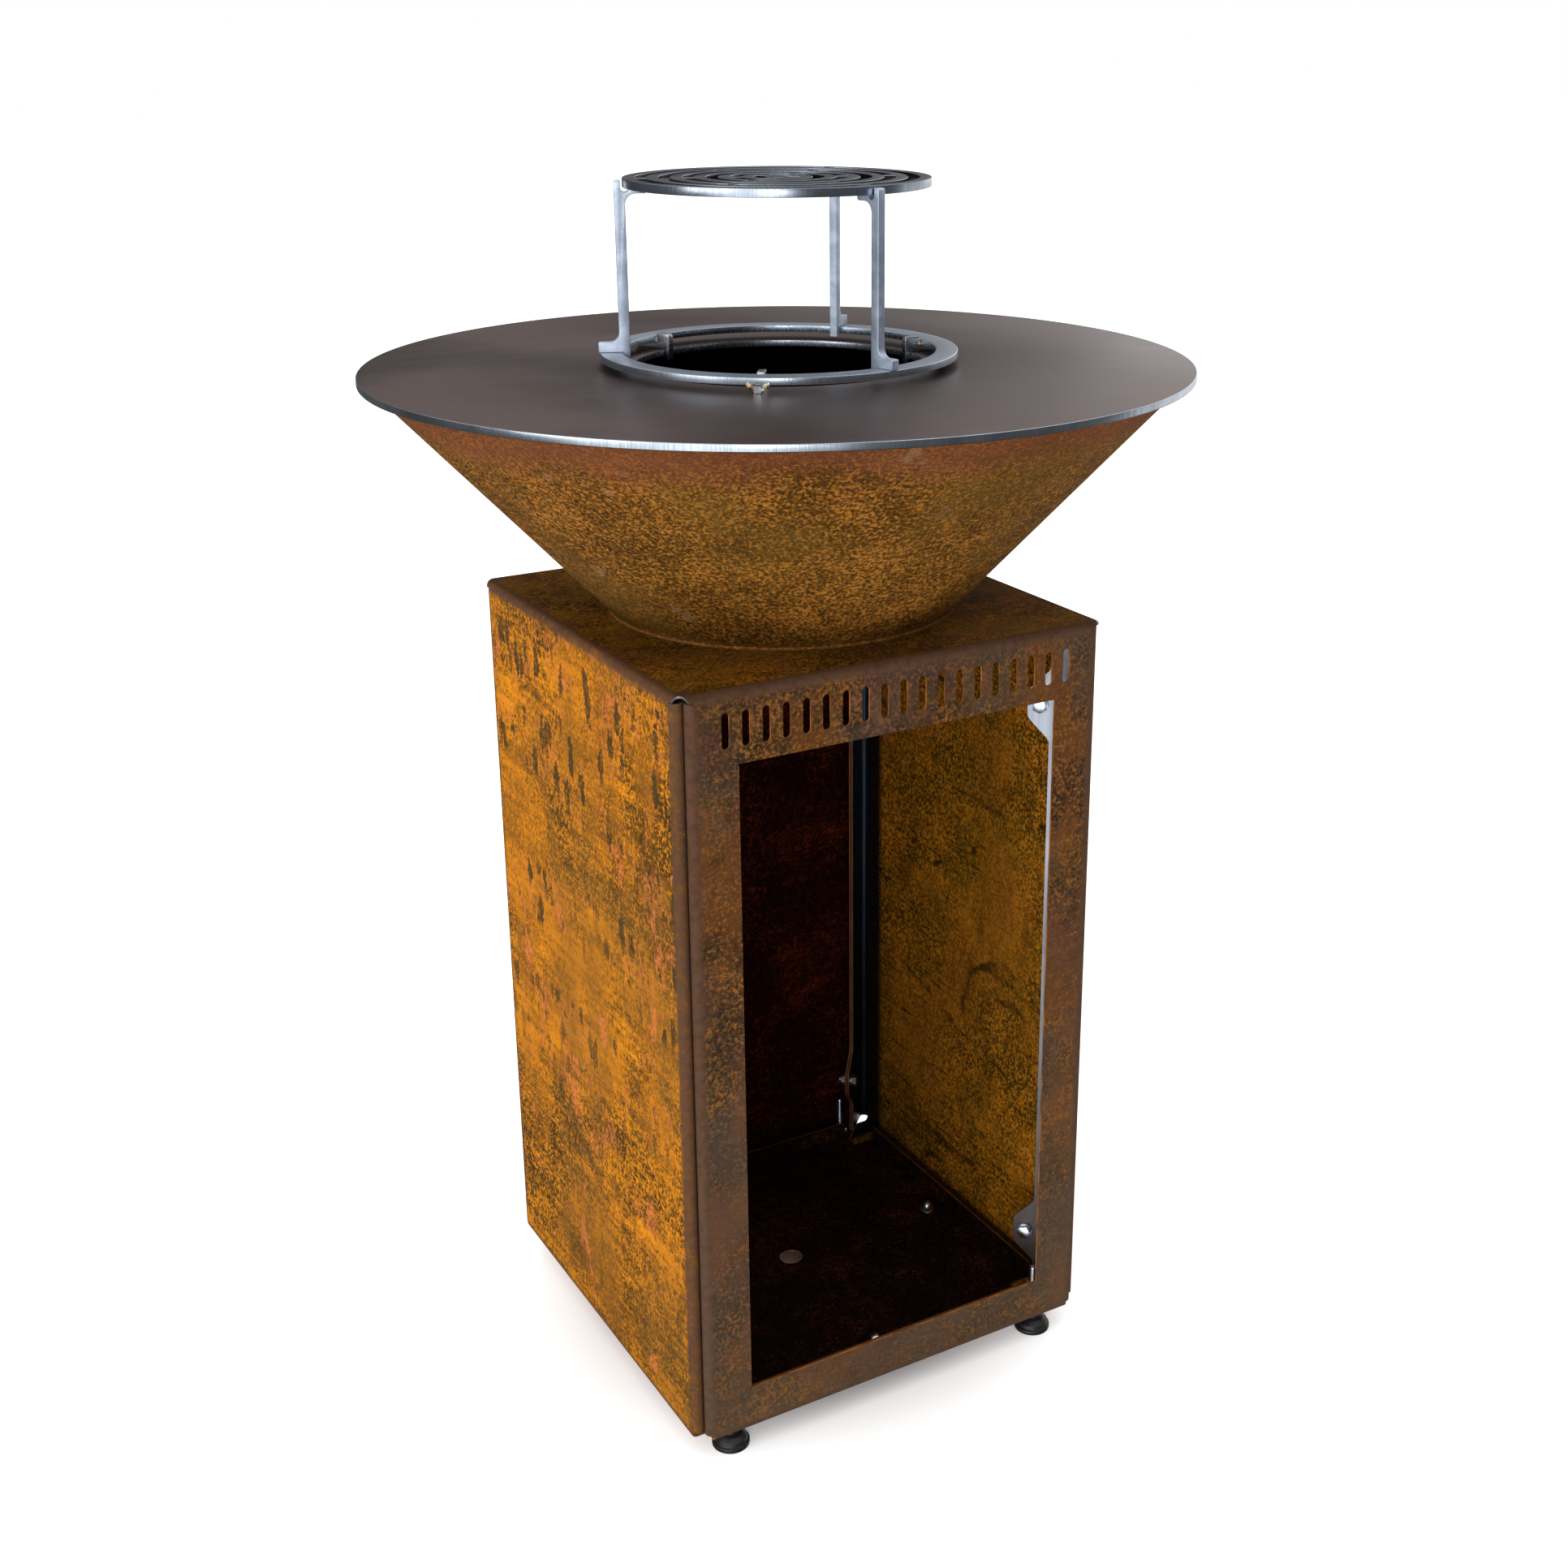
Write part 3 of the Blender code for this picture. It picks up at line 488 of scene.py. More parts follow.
ORANGE_EDGE = cut_edge("cut_edge_orange", (196, 122, 62))
DARK_EDGE = cut_edge("cut_edge_dark", (98, 58, 34))
RUST_LEFT = rust("rust_left", 2.3, BRIGHT, RUNS, CRUST, FOLD_TINT, -0.005, 0.9, 0.7, 0.95, 2.3, washes=GOLDEN)
RUST_FRONT = rust(
    "rust_front", 5.1, BROWN, (52, 42, 34), (116, 72, 50), FOLD_TINT,
    scabs=0.3, bands=0.3, speckle=2.4, blotch=0.8, washes=PURPLED, greyed=0.5,
)
RUST_RIGHT = rust("rust_right", 8.7, BRIGHT, RUNS, CRUST, FOLD_TINT, -0.02, 0.7, 0.6, 0.7, washes=GOLDEN)
RUST_BACK = rust("rust_back", 11.9, BRIGHT, RUNS, CRUST, FOLD_TINT, -0.05, 0.5, 0.5, 0.7, washes=GOLDEN)
RUST_TOP = rust(
    "rust_top", 14.2, OLIVE, (40, 26, 8), (120, 78, 34), FOLD_TINT,
    scabs=0.2, bands=0.3, speckle=2.0, washes=MOSSY,
)
RUST_INSIDE = rust(
    "rust_inside", 17.6, INNER, (46, 32, 8), (120, 74, 34), INNER[0],
    runs=0.35, scabs=0.12, bands=0.25, speckle=3.0, blotch=0.7, washes=UMBER, scuffed_and_shaded=True,
)
# Painted shade: the back wall's inside and the seam strips are darkened for the shade inside the stand.
RUST_PAINTED_SHADE = rust("rust_painted_shade", 21.4, DARK_SHADE_TONES, DARK_SHADE_TONES[0], DARK_SHADE_TONES[4], DARK_SHADE_TONES[1], -0.06, 0.3, 0.0, 0.5)
# Painted shade: the tray floor is darkened for the shade inside the stand.
RUST_FLOOR_SHADED = rust("rust_floor_shaded", 25.8, FLOOR_SHADE_TONES, FLOOR_SHADE_TONES[0], (60, 34, 22), FLOOR_SHADE_TONES[2], -0.04, 0.0, 0.3, 0.3)
BOWL_OUTSIDE = bowl_rust("bowl_outside", False)
BOWL_INSIDE = bowl_rust("bowl_inside", True)
FLANGE_STEEL = bare_steel("flange_steel", (168, 174, 186), (88, 84, 84), 1.0)
# Painted shade: a dark copy of the bare flange steel, for the strips and folds at the back corners.
SHADED_CORNER_STEEL = bare_steel("corner_steel_shaded", (44, 62, 80), (26, 30, 36), 4.0)
PLATE_TOP_STEEL = plate_top("plate_top", (90, 75, 71), (112, 96, 91), (104, 102, 114))
RING_TOP_STEEL = plate_top("ring_top", (166, 174, 186), (190, 200, 214), (192, 208, 228))
PLATE_EDGE = machined_edge("plate_edge", (200, 210, 220), (96, 104, 116), 0.5)
RING_EDGE = machined_edge("ring_edge", (196, 210, 224), (74, 86, 102))
GRATE_EDGE = machined_edge("grate_edge", (176, 186, 200), (56, 62, 72))
# Painted shade: a dark copy of the machined edge, for the walls inside the grate's slots.
GRATE_WALL_SHADED = machined_edge("grate_wall_shaded", (58, 60, 66), (26, 28, 32))
RING_FOOT_STEEL = machined_edge("ring_foot", (184, 188, 192), (88, 84, 84))
LEG_STEEL = blasted("leg_steel", (200, 210, 226), (150, 162, 180))
GRATE_STEEL = surface(              # dark scale with small bright spots
    "grate_top", 0.9, (78, 78, 84), [(24.0, 3.0, 0.5), (700.0, 3.0, 0.6), (420.0, 1.0, 0.5)],
    [(0, 0.35, 0.68, 1.0, (98, 98, 104)), (2, 0.78, 0.81, 1.0, (190, 194, 200))],
    (0, 0.36, 0.41), (0.00004, 0.2), rasp=0.06,
)
ZINC = surface(                     # bright plating with faint blue clouds
    "zinc", 1.0, (206, 214, 224), [(160.0, 3.0, 0.6), (1800.0, 2.0, 0.5)],
    [(0, 0.35, 0.7, 1.0, (170, 182, 200))], (0, 0.2, 0.34), (0.00008, 0.3),
)
BLACK = surface(                    # moulded plastic with a fine grain and a dusty bloom
    "black_plastic", 0.0, (20, 20, 22), [(90.0, 4.0, 0.6), (1400.0, 2.0, 0.5)],
    [(0, 0.5, 0.8, 0.5, (46, 44, 43))], (0, 0.36, 0.56), (0.0001, 0.3),
)
WELD = surface(                     # bright bead with straw and blue heat colours
    "weld", 0.6, (228, 232, 234), [(190.0, 3.0, 0.5), (800.0, 2.0, 0.5)],
    [(0, 0.42, 0.56, 1.0, (190, 160, 108)), (0, 0.60, 0.72, 1.0, (96, 84, 92))],
    (1, 0.15, 0.35), (0.0003, 0.5),
)


# ---------------------------------------------------------------- making and placing pieces

def piece(name, data, materials, body, nodes=(), matrix=None):
    """One visible piece on its body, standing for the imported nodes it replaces."""
    made = bpy.data.objects.new(name, data)
    bpy.context.scene.collection.objects.link(made)
    if not data.materials:
        for material in materials:
            data.materials.append(material)
    if matrix is not None:
        made.matrix_world = matrix
    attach(made, body)
    if nodes:
        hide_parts(*nodes)
    return made


def smooth(data, angle=SHARP):
    data.shade_smooth()
    data.set_sharp_from_angle(angle=angle)
    return data


def mesh_data(mesh, name):
    data = bpy.data.meshes.new(name)
    mesh.to_mesh(data)
    mesh.free()
    return data


def closed_mesh(mesh, name, angle=SHARP):
    bmesh.ops.recalc_face_normals(mesh, faces=mesh.faces)
    return smooth(mesh_data(mesh, name), angle)


def solid_mesh(holder):
    """The object's shape with its modifiers applied, as a closed mesh."""
    graph = bpy.context.evaluated_depsgraph_get()
    graph.update()
    data = bpy.data.meshes.new_from_object(holder.evaluated_get(graph), depsgraph=graph)
    mesh = bmesh.new()
    mesh.from_mesh(data)
    bmesh.ops.remove_doubles(mesh, verts=mesh.verts, dist=MERGE)
    mesh.to_mesh(data)
    mesh.free()
    bpy.data.objects.remove(holder, do_unlink=True)
    return data


def set_materials(data, materials, parts):
    """Gives the mesh these materials, and each of its faces the material with its number in parts."""
    data.materials.clear()
    for material in materials:
        data.materials.append(material)
    for face, part in zip(data.polygons, parts):
        face.material_index = part


def holder_of(name, data):
    made = bpy.data.objects.new(name + "_maker", data)
    bpy.context.scene.collection.objects.link(made)
    return made


def arc(centre, radius, start, end, steps):
    """Points on a circle from start to end, in degrees."""
    angles = [math.radians(start + (end - start) * i / steps) for i in range(steps + 1)]
    return [(centre[0] + radius * math.cos(a), centre[1] + radius * math.sin(a)) for a in angles]


def circle(centre, radius, steps=HOLE_STEPS):
    return arc(centre, radius, 0.0, 360.0, steps)[:-1]


def rounded(points, radius, steps):
    """The run of points with its corners rounded."""
    run = [points[0]]
    for before, corner, after in zip(points, points[1:], points[2:]):
        middle = Vector(corner)
        to_before = Vector(before) - middle
        to_after = Vector(after) - middle
        turn = math.pi - to_before.angle(to_after)
        if turn < STRAIGHT_ENOUGH:
            run.append(corner)
            continue
        reach = min(radius * math.tan(turn / 2), 0.45 * min(to_before.length, to_after.length))
        first = middle + to_before.normalized() * reach
        last = middle + to_after.normalized() * reach
        for i in range(steps + 1):
            t = i / steps
            near = first * (1 - t) * (1 - t) + middle * 2 * t * (1 - t) + last * t * t
            run.append((near.x, near.y))
    return run + [points[-1]]


def lathe(profile, parts, steps=ROUND_STEPS):
    """A closed profile of (radius, height) turned about Z.

    parts gives the material number of the strip after each point.  A point on the axis becomes one vertex.
    """
    mesh = bmesh.new()
    rings = []
    angles = [2 * math.pi * i / steps for i in range(steps)]
    for radius, height in profile:
        if radius == 0.0:
            rings.append([mesh.verts.new((0, 0, height))] * steps)
        else:
            rings.append([mesh.verts.new((radius * math.cos(a), radius * math.sin(a), height)) for a in angles])
    for k, upper in enumerate(rings):
        lower = rings[(k + 1) % len(rings)]
        for i in range(steps):
            j = (i + 1) % steps
            corners = list(dict.fromkeys((upper[i], lower[i], lower[j], upper[j])))
            if len(corners) > 2:
                mesh.faces.new(corners).material_index = parts[k % len(parts)]
    return closed_mesh(mesh, "turned")


def softened(profile, parts, radius, steps=3):
    """The closed profile with small round corners, and each new strip's material number."""
    points = []
    numbers = []
    for k, part in enumerate(parts):
        corner = rounded([profile[k - 1], profile[k], profile[(k + 1) % len(profile)]], radius, steps)[1:-1]
        points += corner
        numbers += [part] * len(corner)
    return points, numbers


def cut_plate(loops, thickness, bevel):
    """A plate cut to the loops, the first its outline and the rest holes, with rounded edges."""
    curve = bpy.data.curves.new("cut", "CURVE")
    curve.dimensions = "2D"
    curve.fill_mode = "BOTH"
    curve.extrude = thickness / 2 - bevel
    curve.bevel_depth = bevel
    curve.bevel_resolution = 2
    curve.offset = -bevel
    for loop in loops:
        spline = curve.splines.new("POLY")
        spline.points.add(len(loop) - 1)
        for point, (x, y) in zip(spline.points, loop):
            point.co = (x, y, 0.0, 1.0)
        spline.use_cyclic_u = True
    return smooth(solid_mesh(holder_of("cut", curve)))


def round_ring(radius, height):
    return [(radius * math.cos(a), radius * math.sin(a), height) for a in BOLT_ANGLES]


def hex_ring(flat, height, drop=0.0):
    """A hexagon of points.  Its corners are lowered or raised by a chamfer, as drop is -1 or 1."""
    points = []
    for angle in BOLT_ANGLES:
        reach = flat / 2 / math.cos(angle % (math.pi / 3) - math.pi / 6)
        past = reach - flat / 2 * HEX_CHAMFER_START
        points.append((reach * math.cos(angle), reach * math.sin(angle), height + drop * past * CHAMFER_SLOPE))
    return points


def lofted(*runs):
    """Closed solids lofted through rings of points.  Each run comes with True where it has a hole through."""
    mesh = bmesh.new()
    for rings, hollow in runs:
        made = [[mesh.verts.new(p) for p in ring] for ring in rings]
        pairs = list(zip(made, made[1:]))
        if hollow:
            pairs.append((made[-1], made[0]))
        else:
            mesh.faces.new(list(reversed(made[0])))
            mesh.faces.new(made[-1])
        for low, high in pairs:
            for i in range(BOLT_STEPS):
                j = (i + 1) % BOLT_STEPS
                mesh.faces.new((low[i], low[j], high[j], high[i]))
    return closed_mesh(mesh, "lofted")


def hex_prism(low, high):
    """A hexagon head or nut with both ends chamfered, and no bore."""
    inner = HEX_FLAT / 2 * HEX_CHAMFER_START
    hexagon = [hex_ring(HEX_FLAT, low, 1.0), hex_ring(HEX_FLAT, high, -1.0)]
    return [round_ring(inner, low), *hexagon, round_ring(inner, high)]


def hex_nut(low, high):
    bore = [(BORE_RADIUS + BORE_SINK, high), (BORE_RADIUS, high - BORE_SINK)]
    bore += [(BORE_RADIUS, low + BORE_SINK), (BORE_RADIUS + BORE_SINK, low)]
    return hex_prism(low, high) + [round_ring(radius, height) for radius, height in bore]


def washer(low, high):
    soft = 0.0002
    bore = SHANK_RADIUS + 0.0003
    inner = WASHER_RADIUS - soft
    run = [(inner, low), (WASHER_RADIUS, low + soft), (WASHER_RADIUS, high - soft), (inner, high)]
    return [round_ring(radius, height) for radius, height in run + [(bore, high), (bore, low)]]


def threaded(low, high):
    """A threaded rod, its thread drawn as close grooves."""
    root = SHANK_RADIUS - THREAD_DEPTH
    end = 0.0004
    run = [(root * 0.9, low), (root, low + end)]
    height = low + end
    while height + THREAD_PITCH < high - 0.0006:
        for radius, part in ((root, 0.10), (SHANK_RADIUS, 0.48), (SHANK_RADIUS, 0.62)):
            run.append((radius, height + THREAD_PITCH * part))
        height += THREAD_PITCH
    run += [(root, high - end), (root * 0.9, high)]
    return [round_ring(radius, height) for radius, height in run]


def radial(azimuth):
    """Stands a plate drawn in (radius, height) up along an azimuth in degrees."""
    return Matrix.Rotation(math.radians(azimuth), 4, "Z") @ Matrix.Rotation(RIGHT_ANGLE, 4, "X")


def spin():
    """A bolt's or a nut's chance turn."""
    return Matrix.Rotation(random.uniform(0, math.pi / 3), 4, "Z")


def zinc_piece(node, data, matrix, body="stand"):
    piece(node + "_detail", data, (ZINC,), body, (node,), matrix)


# ---------------------------------------------------------------- folded sheet

def bend(distance, radius, turn=RIGHT_ANGLE):
    """How far along and how far inward a point comes that lies this far past a fold's start."""
    angle = min(distance / radius, turn)
    rest = max(0.0, distance - radius * turn)
    along = radius * math.sin(angle) + rest * math.cos(turn)
    inward = radius * (1 - math.cos(angle)) + rest * math.sin(turn)
    return along, inward


def fold_lines(start, radius, steps, across, turn=RIGHT_ANGLE):
    direction = Vector(across)
    return [(direction * (start + radius * turn * i / steps), direction) for i in range(steps + 1)]


def folded(name, loops, cuts, fold, offset):
    """A flat blank cut along its fold lines, folded, and thickened: outside 0, inside 1, cut edge 2."""
    mesh = bmesh.new()
    edges = []
    for loop in loops:
        ring = [mesh.verts.new((u, v, 0.0)) for u, v in loop]
        edges += [mesh.edges.new((ring[i], ring[(i + 1) % len(ring)])) for i in range(len(ring))]
    bmesh.ops.triangle_fill(mesh, use_beauty=True, edges=edges, normal=(0, 0, 1))
    for where, across in cuts:
        everything = mesh.verts[:] + mesh.edges[:] + mesh.faces[:]
        bmesh.ops.bisect_plane(mesh, geom=everything, dist=MERGE, plane_co=where, plane_no=across)
    bmesh.ops.dissolve_degenerate(mesh, dist=MERGE, edges=mesh.edges[:])
    for vert in mesh.verts:
        vert.co = fold(vert.co.x, vert.co.y)
    data = mesh_data(mesh, name)
    for number in range(3):
        data.materials.append(None)
    holder = holder_of(name, data)
    sheet = holder.modifiers.new("sheet", "SOLIDIFY")
    sheet.thickness = SHEET
    sheet.offset = offset
    sheet.use_even_offset = True
    sheet.use_quality_normals = True
    sheet.material_offset = 1
    sheet.material_offset_rim = 2
    edge = holder.modifiers.new("edge", "BEVEL")
    edge.width = 0.0003
    edge.segments = 2
    edge.limit_method = "ANGLE"
    edge.angle_limit = math.radians(60.0)
    edge.use_clamp_overlap = True
    return solid_mesh(holder)


def sheet_piece(node, data):
    """A folded sheet's piece, its flat faces kept flat-shaded beside their folds."""
    made = piece(node + "_sheet", smooth(data), (), "stand", (node,))
    normals = made.modifiers.new("normals", "WEIGHTED_NORMAL")
    normals.weight = 80
    normals.keep_sharp = True


# ---------------------------------------------------------------- the stand

def blank_reach(inset):
    """How far from a blank's middle line its flange lies at an inset from the stand's faces."""
    return FACE_HALF + FOLD_RADIUS * CORNER_TURN + (inset - SEAM_REACH) * math.sqrt(2)


def blank_depth(inset):
    """The height on a blank of the place on its bottom flange at an inset from the stand's face."""
    return FACE_LOW - QUARTER_FOLD - (inset - FOLD_RADIUS)


def panel_outline():
    """The right half of a panel's blank, from its top flap down to its bottom flange."""
    flap_start = FACE_HIGH + QUARTER_FOLD
    strip = blank_reach(STRIP_REACH)
    tab = blank_reach(TAB_REACH)
    flap_corner = HALF - FOLD_RADIUS - SEAM_GAP
    top = [
        (HALF - FLAP_DEPTH - SEAM_GAP, flap_start + FLAP_DEPTH - FOLD_RADIUS),
        (flap_corner, flap_start),
        (flap_corner - FLAP_TIP_INSET, FACE_HIGH),
        (FACE_HALF, FACE_HIGH),
        (FACE_HALF, FACE_HIGH - RELIEF),
    ]
    edge = [(strip, FACE_HIGH - RELIEF)]
    for height in reversed(TAB_HEIGHTS):
        edge += [
            (strip, height + TAB_HALF + TAB_TAPER),
            (tab, height + TAB_HALF),
            (tab, height - TAB_HALF),
            (strip, height - TAB_HALF - TAB_TAPER),
        ]
    edge.append((strip, FACE_LOW + RELIEF))
    straight = HALF - SEAM_GAP - FACE_HALF - FOLD_RADIUS
    return top + rounded(edge, TAB_ROUND, 7) + [
        (FACE_HALF, FACE_LOW + RELIEF),
        (FACE_HALF, FACE_LOW),
        (FACE_HALF, FACE_LOW - QUARTER_FOLD - straight),
        (HALF - FLANGE_DEPTH - SEAM_GAP, blank_depth(FLANGE_DEPTH)),
    ]


def fold_panel(u, v):
    if v > FACE_HIGH:
        up, inward = bend(v - FACE_HIGH, FOLD_RADIUS)
        return Vector((u, -HALF + inward, FACE_HIGH + up))
    if v < FACE_LOW:
        down, inward = bend(FACE_LOW - v, FOLD_RADIUS)
        return Vector((u, -HALF + inward, FACE_LOW - down))
    if abs(u) > FACE_HALF:
        out, inward = bend(abs(u) - FACE_HALF, FOLD_RADIUS, CORNER_TURN)
        return Vector((math.copysign(FACE_HALF + out, u), -HALF + inward, v))
    return Vector((u, -HALF, v))


def panel_cuts():
    cuts = []
    for side in (1, -1):
        cuts += fold_lines(FACE_HALF, FOLD_RADIUS, 16, (side, 0, 0), CORNER_TURN)
    cuts += fold_lines(FACE_HIGH, FOLD_RADIUS, 12, (0, 1, 0))
    return cuts + fold_lines(-FACE_LOW, FOLD_RADIUS, 12, (0, -1, 0))


def panel_part(middle, number, back_ends):
    """The material number of a face of a panel as it faces the front, by where it is.

    back_ends holds the signs of the panel's ends that meet the back panel, where the steel is painted dark: a
    shaded copy of the bare flange steel, for painted shade.
    """
    across = abs(middle.x)
    depth = middle.y + HALF
    upright = across > 0.160 and 0.030 < middle.z < STAND_TOP - 0.004
    steel = 5 if math.copysign(1, middle.x) in back_ends else 4
    if number < 2 and upright and depth > 0.0125:
        return steel
    # The inside of the folds at the back corners takes the shaded copy too: painted shade.
    if number == 1 and upright and steel == 5 and across > FACE_HALF:
        return steel
    if number == 2 and across > FACE_HALF - 0.004 and middle.z > FACE_HIGH - 0.010:
        return 4
    if number == 0 and middle.z > STAND_TOP - 0.0015:
        return 3
    return number


def panel(name, turn, holes, outside, inside, edge, back_ends):
    right = panel_outline()
    loops = [right + [(-u, v) for u, v in reversed(right)]]
    for side in (1, -1):
        loops += [circle((side * blank_reach(BOLT_REACH), height), HOLE_RADIUS) for height in TAB_HEIGHTS]
    loops.append(circle((0.0, blank_depth(HALF - TRAY_BOLT_REACH)), HOLE_RADIUS))
    data = folded(name, loops + holes, panel_cuts(), fold_panel, -1.0)
    parts = [panel_part(face.center, face.material_index, back_ends) for face in data.polygons]
    set_materials(data, (outside, inside, edge, RUST_TOP, FLANGE_STEEL, SHADED_CORNER_STEEL), parts)
    data.transform(Matrix.Rotation(turn, 4, "Z"))
    sheet_piece(name, data)


def foot_holes():
    return [circle((side * FOOT_X, blank_depth(HALF - FOOT_Y)), HOLE_RADIUS) for side in (1, -1)]


def front_holes():
    low = [(OPENING_HALF_WIDTH, OPENING_BOTTOM), (OPENING_HALF_WIDTH, OPENING_TOP)]
    holes = [low + [(-x, z) for x, z in reversed(low)]]
    radius = SLOT_WIDTH / 2
    straight = SLOT_HEIGHT / 2 - radius
    for i in range(SLOT_COUNT):
        x = (i - (SLOT_COUNT - 1) / 2) * SLOT_PITCH
        top = arc((x, SLOT_CENTRE_Z + straight), radius, 0, 180, 10)
        holes.append(top + arc((x, SLOT_CENTRE_Z - straight), radius, 180, 360, 10))
    return holes + foot_holes()


def stand_panels():
    panel("front_panel", 0.0, front_holes(), RUST_FRONT, RUST_INSIDE, ORANGE_EDGE, ())
    panel("right_panel", RIGHT_ANGLE, [], RUST_RIGHT, RUST_INSIDE, DARK_EDGE, (1,))
    # The back wall's inside is painted near black, as shade.
    panel("back_panel", math.pi, foot_holes(), RUST_BACK, RUST_PAINTED_SHADE, DARK_EDGE, (1, -1))
    panel("left_panel", -RIGHT_ANGLE, [], RUST_LEFT, RUST_INSIDE, DARK_EDGE, (-1,))


def seam_shade_strip():
    """A dark strip between the flanges of the four corner seams, which lets no light through: painted shade in the
    seams.
    """
    outer = HALF - SEAM_REACH - 0.001
    inner = HALF - STRIP_REACH + 0.001
    middle = (outer + inner) / 2
    size = (math.sqrt(2) * (outer - inner), 2 * SEAM_FILL * SEAM_GAP, FACE_HIGH - FACE_LOW, 1.0)
    mesh = bmesh.new()
    bmesh.ops.create_cube(mesh, size=1.0, matrix=Matrix.Diagonal(size))
    data = mesh_data(mesh, "seam_shade_strip")
    for corner, (x, y) in CORNERS.items():
        matrix = Matrix.Translation((x * middle, y * middle, (FACE_LOW + FACE_HIGH) / 2))
        matrix = matrix @ Matrix.Rotation(math.atan2(y, x), 4, "Z")
        piece(f"seam_shade_strip_{corner}", data, (RUST_PAINTED_SHADE,), "stand", (), matrix)


def floor_tray():
    flat_x = TRAY_HALF_X - TRAY_FOLD_RADIUS
    flat_y = TRAY_HALF_Y - TRAY_FOLD_RADIUS
    bottom = STAND_BOTTOM + SHEET + GAP
    rim = TRAY_FOLD_RADIUS * RIGHT_ANGLE + TRAY_RIM_TOP - bottom - TRAY_FOLD_RADIUS
    notch_x = TRAY_HALF_X - TRAY_NOTCH
    notch_y = TRAY_HALF_Y - TRAY_NOTCH

    def fold(u, v):
        if abs(u) > flat_x:
            out, up = bend(abs(u) - flat_x, TRAY_FOLD_RADIUS)
            return Vector((math.copysign(flat_x + out, u), v, bottom + up))
        if abs(v) > flat_y:
            out, up = bend(abs(v) - flat_y, TRAY_FOLD_RADIUS)
            return Vector((u, math.copysign(flat_y + out, v), bottom + up))
        return Vector((u, v, bottom))

    quadrant = [(flat_x + rim, notch_y), (notch_x, notch_y), (notch_x, flat_y + rim)]
    outline = quadrant + [(-u, v) for u, v in reversed(quadrant)]
    outline += [(-u, -v) for u, v in quadrant] + [(u, -v) for u, v in reversed(quadrant)]
    loops = [outline, circle((0, 0), DRAIN_RADIUS, 48)]
    for x, y in TRAY_SIDES.values():
        loops.append(circle((x * TRAY_BOLT_REACH, y * TRAY_BOLT_REACH), HOLE_RADIUS))
    cuts = []
    for side in (1, -1):
        cuts += fold_lines(flat_x, TRAY_FOLD_RADIUS, 8, (side, 0, 0))
        cuts += fold_lines(flat_y, TRAY_FOLD_RADIUS, 8, (0, side, 0))
    data = folded("floor_tray", loops, cuts, fold, 1.0)
    set_materials(data, (RUST_FLOOR_SHADED, RUST_BACK, DARK_EDGE), [face.material_index for face in data.polygons])
    sheet_piece("floor_tray", data)


# ---------------------------------------------------------------- fasteners and feet

def corner_fasteners():
    face = SEAM_GAP + SHEET + GAP
    head_low = face + WASHER_HEIGHT
    bolt = lofted(
        (threaded(-face - NUT_HEIGHT - BOLT_TAIL, face), False),
        (washer(face, head_low), True),
        (hex_prism(head_low, head_low + HEAD_HEIGHT), False),
    )
    nut = lofted((hex_nut(-face - NUT_HEIGHT, -face), True))
    reach = HALF - BOLT_REACH
    for corner, (x, y) in CORNERS.items():
        aim = Vector((x * y, -1, 0)).to_track_quat("Z", "X").to_matrix().to_4x4()
        for height, level in zip(TAB_HEIGHTS, ("low", "high")):
            matrix = Matrix.Translation((x * reach, y * reach, height)) @ aim @ spin()
            zinc_piece(f"{corner}_{level}_bolt", bolt, matrix)
            zinc_piece(f"{corner}_{level}_nut", nut, matrix)


def tray_fasteners():
    under = STAND_BOTTOM - GAP
    floor = STAND_BOTTOM + SHEET + GAP + SHEET + GAP
    cap = floor + WASHER_HEIGHT
    dome = hex_prism(cap, cap + 0.0042)[:-1]
    for i in range(9):
        turn = math.radians(90.0 * i / 9)
        dome.append(round_ring(0.0060 * math.cos(turn), cap + 0.0043 + 0.0055 * math.sin(turn)))
    cap_nut = lofted((washer(floor, cap), True), (dome, False))
    shank = [round_ring(SHANK_RADIUS, under), round_ring(SHANK_RADIUS, floor - GAP)]
    bolt = lofted((hex_prism(under - HEAD_HEIGHT, under), False), (shank, False))
    for side, (x, y) in TRAY_SIDES.items():
        matrix = Matrix.Translation((x * TRAY_BOLT_REACH, y * TRAY_BOLT_REACH, 0)) @ spin()
        zinc_piece(f"tray_bolt_{side}", bolt, matrix)
        zinc_piece(f"tray_cap_nut_{side}", cap_nut, matrix)


